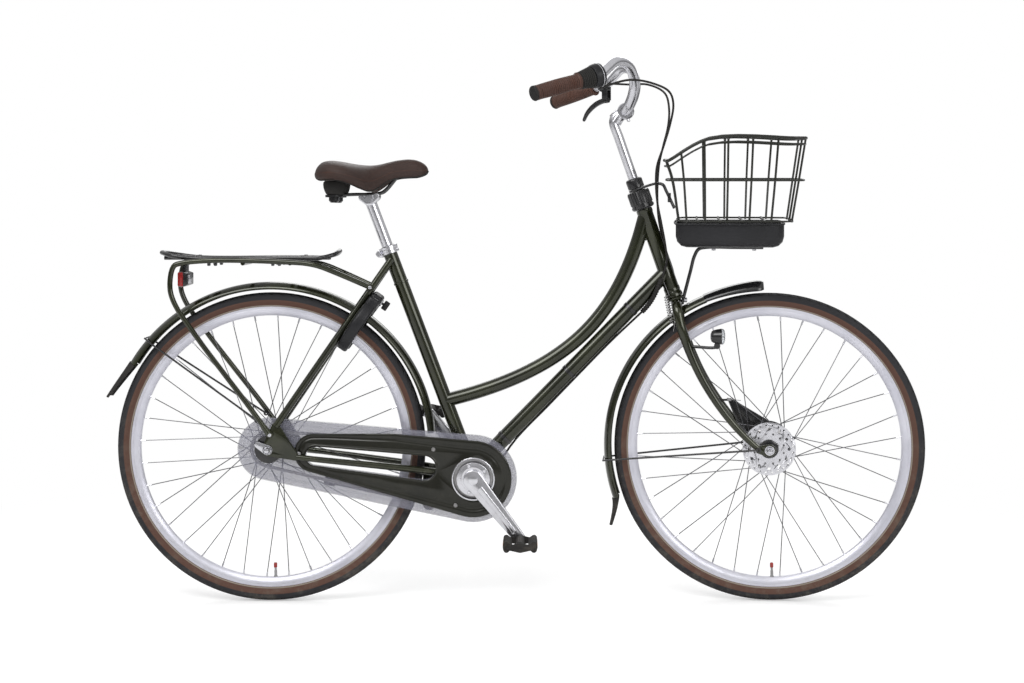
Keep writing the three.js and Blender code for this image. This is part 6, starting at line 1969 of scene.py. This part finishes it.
@dataclass
class Basket:
    """The wire basket, its tray, its strut and its bracket."""

    half_width: float = 150.0
    waist: float = 962.0
    low: float = 871.0
    wire: float = 2.2
    rim_front: tuple[Point, ...] = ((721, 150, 1055), (740.5, 143.5, 1055), (747, 124, 1055))
    rim_rear: tuple[Point, ...] = ((440, 124, 1006), (446.5, 143.5, 1006), (536, 150, 1055))
    uprights: tuple[Point, ...] = (
        (474, 486, 1023), (525, 527, 1050), (577, 575, 1054), (631, 624, 1054), (686, 672, 1054))

    def loop(self, name: str, front: float, rear: float, half: float, height: float) -> Piece:
        """One level wire loop with round corners.

        Args:
            name: the object's name.
            front: where it ends in front.
            rear: where it ends at the back.
            half: half of its width.
            height: its height.

        Returns:
            The mesh object.
        """
        c = 26.0
        corner = ((c, 0), (c / 4, c / 4), (0, c))
        ahead = [(front - back, half - side, height) for back, side in corner]
        behind = [(rear + forth, half - side, height) for forth, side in reversed(corner)]
        return Bench.tube(name, level_ring(ahead, behind), self.wire, True, 6, 3)

    def upright(self, top: Point, low: Point) -> list[Vector]:
        """One upright from the rim, bowed over the waist wire, to the foot.

        Args:
            top: its top end.
            low: its low end.

        Returns:
            Its line.
        """
        a, b = Vector(top), Vector(low)
        middle = a.lerp(b, 0.5)
        middle.z = self.waist
        outer = abs(a.y) > self.half_width - 2.0
        middle.y = a.y * (1 - 4.0 / self.half_width) if outer else a.lerp(b, 0.42).y
        return smooth_line([a, middle, b], 5)

    def wires(self) -> None:
        """Bends the rim, the loops, the uprights and the floor wires."""
        rim = level_ring(self.rim_front, self.rim_rear)
        made = [Bench.tube("rim", rim, 3.6, True, 6, 4)]
        second = [(x * 0.992 + 4.7, y * 0.985, z - 13.0) for x, y, z in rim]
        made.append(Bench.tube("second_rim", second, self.wire, True, 6, 3))
        made.append(self.loop("waist", 743.0, 444.0, 146.0, self.waist))
        made.append(self.loop("foot", 719.0, 468.0, 122.0, self.low))
        lines = []
        for side in SIDES:
            for top, low, height in self.uprights:
                lines.append(self.upright((top, side * 149.0, height), (low, side * 122.0, self.low)))
            lines.append(self.upright((440, side * 124.0, 1006), (468, side * 96.0, self.low)))
        for side in (-118, 0, 118):
            lines.append(self.upright((747, side, 1055), (719, side * 0.774, self.low)))
        for side in (-84, -42, 0, 42, 84):
            lines.append(self.upright((440, side, 1006), (468, side * 0.774, self.low)))
        for x in (510, 560, 610, 660):
            lines.append([Vector((x, -122, self.low)), Vector((x, 122, self.low))])
        made.append(Bench.wires("uprights", lines, 2.5, sides=3))
        for line in lines:
            for end in (line[0], line[-1]):
                bpy.ops.mesh.primitive_uv_sphere_add(
                    segments=10, ring_count=6, radius=3.6 * MM, location=end * MM)
                made.append(bpy.context.object)
        Bench.whole("wire_basket", made, WIRE, "steering", "basket")

    def tray(self) -> None:
        """Presses the tray as a bowl with round corners, with its rails and strut."""
        bowl = Bench.block("bowl", (582, 0, 859), (240, 236, 94), 25.0)
        bm = bmesh.new()
        bm.from_mesh(bowl.data)
        bmesh.ops.bisect_plane(
            bm, geom=[*bm.verts, *bm.edges, *bm.faces], plane_co=Vector((0, 0, 864)) * MM,
            plane_no=(0, 0, 1), clear_outer=True)
        bm.to_mesh(bowl.data)
        bm.free()
        Bench.apply(bowl, "SOLIDIFY", thickness=2.4 * MM, offset=-1.0)
        Bench.soften(bowl, 40.0)
        front = [(698, 112, 864.4), (702, 96, 864.4)]
        rear = [(462, 96, 864.4), (466, 112, 864.4), (482, 118, 864.4), (682, 118, 864.4)]
        Bench.whole("basket_bowl", [bowl, Bench.tube("lip", level_ring(front, rear), 2.2, True, 5, 3)],
                    BLACK, "steering", "basket_tray")
        rail = [(660, 9, 807.5), (600, 9, 807.5), (532, 9, 807.5), (514, 5.4, 803), (504, 2.7, 786),
                (496, 0, 755), (479.6, 0, 691)]
        rails = [Bench.tube("rail", on_side(rail, side), 3.9, steps=6, sides=5) for side in (-1, 1)]
        foot = Bench.block("foot", (478, 0, 686.5), (6, 18, 20), 2.0)
        feet = [Bench.rod("foot", (x, 0, 806), (x, 0, 812.5), 9.0, sides=28) for x in (548, 640)]
        Bench.whole("tray_strut", [*rails, foot, *feet], ENAMEL, "steering")
        bolts = [Bench.rod("bolt", (x, 0, 800), (x, 0, 806.4), 4.6, sides=6) for x in (548, 640)]
        bolts.append(Bench.rod("bolt", (481, 0, 686.5), (488, 0, 686.5), 5.4, sides=6))
        Bench.whole("tray_bolts", bolts, ALLOY, "steering")

    def bracket(self) -> None:
        """Bends the bracket's arms from the ring under the headset cap."""
        ring = Bench.turned(
            "ring", [(13.9, 44.4), (18.4, 44.4), (19, 45), (19, 49.6), (18.4, 50.2), (13.9, 50.2)],
            HEAD_TOP, HEAD_UP, 48)
        arms = []
        for side in SIDES:
            line = [(373.3, 16.7 * side, 939.4), (400.6, 17.4 * side, 949), (418, 26.0 * side, 953),
                    (432.5, 33.0 * side, 950), (440, 34 * side, 936), (458.5, 34 * side, 897)]
            arms.append(Bench.tube("arm", line, 3.0, steps=7, sides=4))
        plate = [Bench.block("hook", (447, 34.0 * side, 921), (7, 13, 20), 1.6) for side in SIDES]
        Bench.whole("basket_arms", [ring, *arms, *plate], ENAMEL, "steering", "basket_bracket")

    def build(self) -> None:
        """Makes the whole basket."""
        self.wires()
        self.tray()
        self.bracket()


@dataclass
class FrontFittings:
    """The headlamp and the roller brake with its arm."""

    lamp: Point = (545, -68, 610)

    def headlamp(self) -> None:
        """Turns the lamp's bowl and lens, and bends its bracket."""
        rows = [(0, -5), (6, -4.6), (11.6, -2.4), (14.4, 2), (16.4, 9), (17.8, 18), (18, 20), (0, 20)]
        bowl = Bench.turned("bowl", rows, self.lamp, (1, 0, 0), 48, closed=False)
        arm = Bench.tube(
            "arm", [(555, -68, 597), (555, -68, 588), (549, -66, 584.8), (502.3, -48.5, 584.8)], 3.5,
            steps=6, sides=4)
        clamp = Bench.turned(
            "clamp", both([(0, -5), (6.4, -5), (7, -4)]), (555, -68, 589), (0, 1, 0), 28, closed=False)
        Bench.whole("lamp_bowl", [bowl, arm, clamp], ENAMEL, "steering", "headlamp")
        lens = [(0, 0.4), (17.6, 0.4), (18, 1.2), (17, 4), (14, 6.4), (8, 7.8), (0, 8.3)]
        Bench.finish(Bench.turned("lamp_glass", lens, (565, -68, 610), (1, 0, 0), 48, closed=False),
                     LENS, "steering", "headlamp_lens")

    def brake(self) -> None:
        """Turns the roller brake with its cooling fins, and shapes its arm."""
        rows = [(5.6, 26), (19, 26), (24, 27), (48, 29.4), (53, 30.2), (54, 31.2), (54, 32.2), (50, 33),
                (50, 34), (54, 34.8), (54, 36), (53, 37.4), (44, 42), (40, 43.6), (36, 44.6), (14, 45),
                (5.6, 45)]
        drum = Bench.turned("drum", rows, FRONT_AXLE, steps=72)
        reach = FRONT_AXLE + Vector((-84, 0, 97))
        arm = hull([(FRONT_AXLE.x, FRONT_AXLE.z, 47), (reach.x, reach.z, 6)], 48)
        arm = Bench.slab("arm", arm, 42.0, 46.4, [disc(FRONT, 5.6, 20)], 1.2)
        Bench.whole("roller_brake", [drum, arm], ENAMEL, "steering", "front_brake")

    def build(self) -> None:
        """Makes the lamp and the brake."""
        self.headlamp()
        self.brake()


@dataclass
class Cables:
    """The brake cable, the gear cable, its cover and the steering spring."""

    radius: float = 2.5
    shift: tuple[Point, ...] = (
        (278.9, -210.8, 1157.2), (349, -163, 1178), (405, -130, 1171), (440, -98, 1155),
        (450, -76, 1128), (444, -58, 1085), (430, -44, 1035), (416, -36, 990), (414, -38, 945),
        (418, -33, 905), (427, -25, 862), (436, -26, 812), (439, -27, 775), (429.2, -23.8, 738.5))
    brake: tuple[Point, ...] = (
        (284.6, 194.4, 1190.9), (352, 160, 1186), (395, 120, 1184), (437, 62, 1160), (446, 34, 1125),
        (444, 18, 1085), (432, 14, 1035), (424, 14, 1000), (420, 16, 952), (420, 18, 905),
        (424, 19, 862), (439, 21, 800), (456, 22, 748), (458, 29, 720), (445, 31, 694), (449, 33, 655),
        (466, 34.5, 612), (484, 36, 585), (518, 37.5, 510), (560, 39, 455), (590, 39, 453))
    cover: tuple[Point, ...] = (
        (427.2, -23.8, 736.5), (420.8, -22.6, 719.4), (413.8, -19.2, 702.7), (405.8, -14, 687),
        (396.4, -7.4, 672.7), (385.6, 0, 659.8))
    low: tuple[Point, ...] = (
        (389.8, 0, 664.1), (314.1, 0, 592.8), (241.4, 0, 518.6), (169, 0, 443.8), (96.6, 0, 369),
        (17, 6, 261.5), (0, 8, 258.5), (-20, 16, 259.5), (-60, 38, 276), (-90, 45.5, 288),
        (-110, 47.5, 293), (-235, 62, 310), (-350, 76, 324), (-400, 78, 330), (-449, 78, 345))
    spring_start: Point = (433.5, -15.3, 727.6)
    spring_end: Point = (453.9, -37.2, 616.6)

    def hoses(self) -> None:
        """Lays the gear cable and the brake cable, with the brake cable's ferrules."""
        shift = Bench.tube("gear_cable", self.shift, self.radius, steps=6, sides=4)
        Bench.finish(shift, SOLE, "", "shift_cable")
        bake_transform(shift)
        brake = Bench.tube("brake_hose", self.brake, self.radius, steps=6, sides=4)
        Bench.finish(brake, SOLE, "steering", "brake_cable")
        start, end = Vector(self.brake[0]), Vector(self.brake[-1])
        run = (Vector(self.brake[1]) - start).normalized()
        back = (Vector(self.brake[-2]) - end).normalized()
        ends = [
            Bench.turned("ferrule", [(2.6, 0), (4.2, 0.4), (4.2, 9), (3.2, 14), (2.6, 15)], start, run,
                         24),
            Bench.turned("ferrule", [(2.6, 0), (4, 0.4), (4, 10), (2.6, 10.6)], end, back, 24),
            Bench.wires("inner_wire", [[end, end - back * 22.0]], 0.9, sides=1)]
        Bench.whole("brake_ferrules", ends, STEEL, "steering")

    def under_tube(self) -> None:
        """Lays the ribbed cover and the cable under the down tube."""
        line = smooth_line(self.cover, 12)
        taper = [1.0 if i % 4 < 2 else 0.82 for i in range(len(line))]
        ribbed = Bench.wires("ribbed", [line], 6.0, sides=5, taper=taper)
        low = Bench.tube("low", self.low, self.radius, steps=6, sides=4)
        Bench.whole("ribbed_cover", [ribbed, low], SOLE, "root", "cable_cover")

    def spring(self) -> None:
        """Winds the steering spring between the down tube and the fork."""
        start, end = Vector(self.spring_start), Vector(self.spring_end)
        axis = (end - start).normalized()
        side = axis.cross(LEFT).normalized()
        other = axis.cross(side)
        length = (end - start).length
        line = [start]
        turns, steps, radius = 11, 14, 6.1
        for i in range(turns * steps + 1):
            share = i / (turns * steps)
            angle = math.tau * turns * share
            place = start + axis * (length * (0.28 + 0.56 * share))
            line.append(place + side * (radius * math.cos(angle)) + other * (radius * math.sin(angle)))
        line.append(end)
        coil = Bench.wires("centring_spring", [line], 0.9, sides=1)
        Bench.finish(coil, STEEL, "", "steering_spring")
        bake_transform(coil)

    @staticmethod
    def metres(point: Point) -> tuple[float, ...]:
        """A point in metres."""
        return tuple(value * MM for value in point)

    def build(self) -> None:
        """Makes the cables and the spring."""
        self.hoses()
        self.under_tube()
        self.spring()


@dataclass
class AxleEnds:
    """Axles with their dome nuts, washers, spacers and tug plates, and the disc beside the rear hub."""

    def axle(self, centre: Vector, half: float, place: float, inner: Pair, outer: float) -> list[Piece]:
        """One axle with a washer, a dome nut and a spacer at each end.

        Args:
            centre: its middle.
            half: half of its length.
            place: how far out the nuts sit.
            inner: where the spacers start, on the left and on the right.
            outer: where they end.

        Returns:
            Its objects.
        """
        made = [Bench.rod("axle", centre - LEFT * half, centre + LEFT * half, 4.9)]
        for way, near in zip((LEFT, -LEFT), inner):
            spot = centre + way * place
            rows = [(5.2, -1.4), (10.4, -1.4), (11, -0.8), (11, 0), (5.2, 0)]
            made.append(Bench.turned("washer", rows, spot, way, 32))
            made.append(Bench.rod("nut", spot, spot + way * 8.0, 9.4, sides=6))
            rows = [(7.4, 7.6), (7.4, 10), (6.6, 13), (4.4, 15.4), (0, 16.6), (0, 7.6)]
            made.append(Bench.turned("dome", rows, spot, way, 32))
            made.append(Bench.rod("spacer", centre + way * near, centre + way * outer, 9.0))
        return made

    def build(self) -> None:
        """Makes both axle sets and the disc."""
        rear = self.axle(REAR_AXLE, 84.0, 71.8, (36.3, 51.3), 64.7)
        plate = hull([(*REAR, 11), (REAR[0] - 22.0, REAR[1] + 12.0, 7)], 28)
        rear += [Bench.slab("tug", plate, 70.2 * side, 71.8 * side, [], 0.3) for side in SIDES]
        Bench.whole("rear_axle_set", rear, ALLOY, "root", "rear_axle")
        rows = [(13.4, -1.2), (27, -1.2), (30, -0.4), (31, 0.6), (31, 1), (13.4, 1)]
        Bench.finish(Bench.turned("disc", rows, REAR_AXLE - LEFT * 57.4, -LEFT, 64), ENAMEL, "root")
        front = self.axle(FRONT_AXLE, 72.0, 58.6, (45.3, 35.3), 51.7)
        Bench.whole("front_axle_set", front, ALLOY, "steering", "front_axle")


def dress() -> None:
    """Gives the carried-over solids of the drive their finish."""
    for name in ("chain", "rear_sprocket", "chainring", "right_bracket_cup", "left_bracket_cup"):
        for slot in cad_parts[name].material_slots:
            slot.material = STEEL.material()


# Studio


@dataclass
class Studio:
    """The camera, the lamps, the floor and the plain backdrop."""

    camera_place: Point = (0.1168, -3.930, 0.889)
    lens: float = 60.33
    shift: Pair = (-0.0127, -0.127)
    floor_size: float = 40.0
    key_power: float = 72.0
    fill_power: float = 34.0
    world_strength: float = 0.6
    horizon: float = 0.16

    def camera(self) -> None:
        """Sets the camera at the picture's height and distance, level and square to the bike."""
        Bench.clear()
        bpy.ops.object.camera_add(location=self.camera_place, rotation=(math.radians(90), 0, 0))
        camera = bpy.context.object
        camera.data.lens = self.lens
        camera.data.sensor_width = 36.0
        camera.data.shift_x, camera.data.shift_y = self.shift
        bpy.context.scene.camera = camera

    def lamp(self, name: str, place: Point, target: Point, size: float, power: float) -> None:
        """Hangs one soft box.

        Args:
            name: the lamp's name.
            place: where it hangs, in metres.
            target: the point it faces.
            size: its side.
            power: its power in watts.
        """
        Bench.clear()
        turn = (Vector(target) - Vector(place)).to_track_quat("-Z", "Y").to_euler()
        bpy.ops.object.light_add(type="AREA", location=place, rotation=turn)
        lamp = bpy.context.object
        lamp.name = name
        lamp.data.shape = "RECTANGLE"
        lamp.data.size = size
        lamp.data.size_y = size * 0.6
        lamp.data.energy = power

    def floor(self) -> None:
        """Lays the floor, which the camera sees as white where no shadow falls."""
        Bench.clear()
        bpy.ops.mesh.primitive_plane_add(size=self.floor_size, location=(0, 0, -0.0005))
        floor = bpy.context.object
        floor.name = "studio_floor"
        graph = Graph("studio_floor")
        graph.shader.inputs["Base Color"].default_value = (0.86, 0.86, 0.86, 1)
        graph.shader.inputs["Roughness"].default_value = 0.9
        path = graph.node("ShaderNodeLightPath")
        seen = Signal(graph, path.outputs["Is Camera Ray"])
        glow = graph.node("ShaderNodeEmission", None, {"Color": WHITE, "Strength": 0.37})
        add = graph.node("ShaderNodeAddShader", None, {0: graph.shader.outputs[0], 1: glow.outputs[0]})
        white = graph.node("ShaderNodeEmission", None, {"Color": WHITE, "Strength": 1.0})
        near = graph.node(
            "ShaderNodeMixShader", None, {0: graph.distance().between(1.0, 1.9), 1: add.outputs[0],
                2: white.outputs[0]})
        mixed = graph.node(
            "ShaderNodeMixShader", None, {0: seen, 1: graph.shader.outputs[0], 2: near.outputs[0]})
        output = next(n for n in graph.tree.nodes if n.type == "OUTPUT_MATERIAL")
        graph.set(output.inputs["Surface"], mixed.outputs[0])
        floor.data.materials.append(graph.material)

    def world(self) -> None:
        """Fills the room with soft pale light and shows white behind the bike."""
        world = bpy.data.worlds.new("studio")
        bpy.context.scene.world = world
        world.use_nodes = True
        world.node_tree.nodes.clear()
        nodes = Nodes(world.node_tree)
        split = nodes.node(
            "ShaderNodeSeparateXYZ", None,
            {"Vector": nodes.node("ShaderNodeTexCoord").outputs["Generated"]})
        sky = nodes.node(
            "ShaderNodeMapRange", {"interpolation_type": "SMOOTHSTEP"},
            {"Value": split.outputs["Z"], "From Min": -0.1, "From Max": 0.55, "To Min": self.horizon})
        soft = nodes.node(
            "ShaderNodeBackground", None, {"Color": sky.outputs["Result"],
                "Strength": self.world_strength})
        white = nodes.node("ShaderNodeBackground", None, {"Color": WHITE})
        path = nodes.node("ShaderNodeLightPath")
        either = nodes.node(
            "ShaderNodeMath", {"operation": "MAXIMUM"},
            {0: path.outputs["Is Camera Ray"], 1: path.outputs["Is Transmission Ray"]})
        mix = nodes.node(
            "ShaderNodeMixShader", None, {0: either.outputs[0], 1: soft.outputs[0],
                2: white.outputs[0]})
        nodes.node("ShaderNodeOutputWorld", None, {"Surface": mix.outputs[0]})

    def build(self) -> None:
        """Sets up the studio."""
        self.camera()
        self.floor()
        self.world()
        self.lamp("key_box", (-1.6, -2.6, 3.4), (0, 0, 0.5), 3.0, self.key_power)
        self.lamp("front_box", (2.6, -3.2, 1.9), (0.1, 0, 0.6), 2.4, self.fill_power)
        self.lamp("back_box", (0.4, 3.2, 2.8), (0, 0, 0.6), 3.0, self.fill_power)
        bpy.context.scene.view_settings.view_transform = "Standard"


def main() -> None:
    """Builds the studio and every sub-assembly in order."""
    logging.basicConfig(level=logging.INFO, format="%(message)s")
    wheels = (Wheel("rear", REAR_AXLE, 27.0, 30.0, 31.0, 7.6),
              Wheel("front", FRONT_AXLE, 32.0, 22.0, 44.0, 5.0))
    others = (FrameSet, Fork, Cockpit, Mudguards, Chaincase, Cranks, Carrier, RingLock, Seat, Stand,
              Basket, FrontFittings, Cables, AxleEnds)
    for part in (Studio(), *wheels, *(kind() for kind in others)):
        LOG.info("%s", type(part).__doc__)
        part.build()
    dress()


if __name__ == "__main__":
    main()
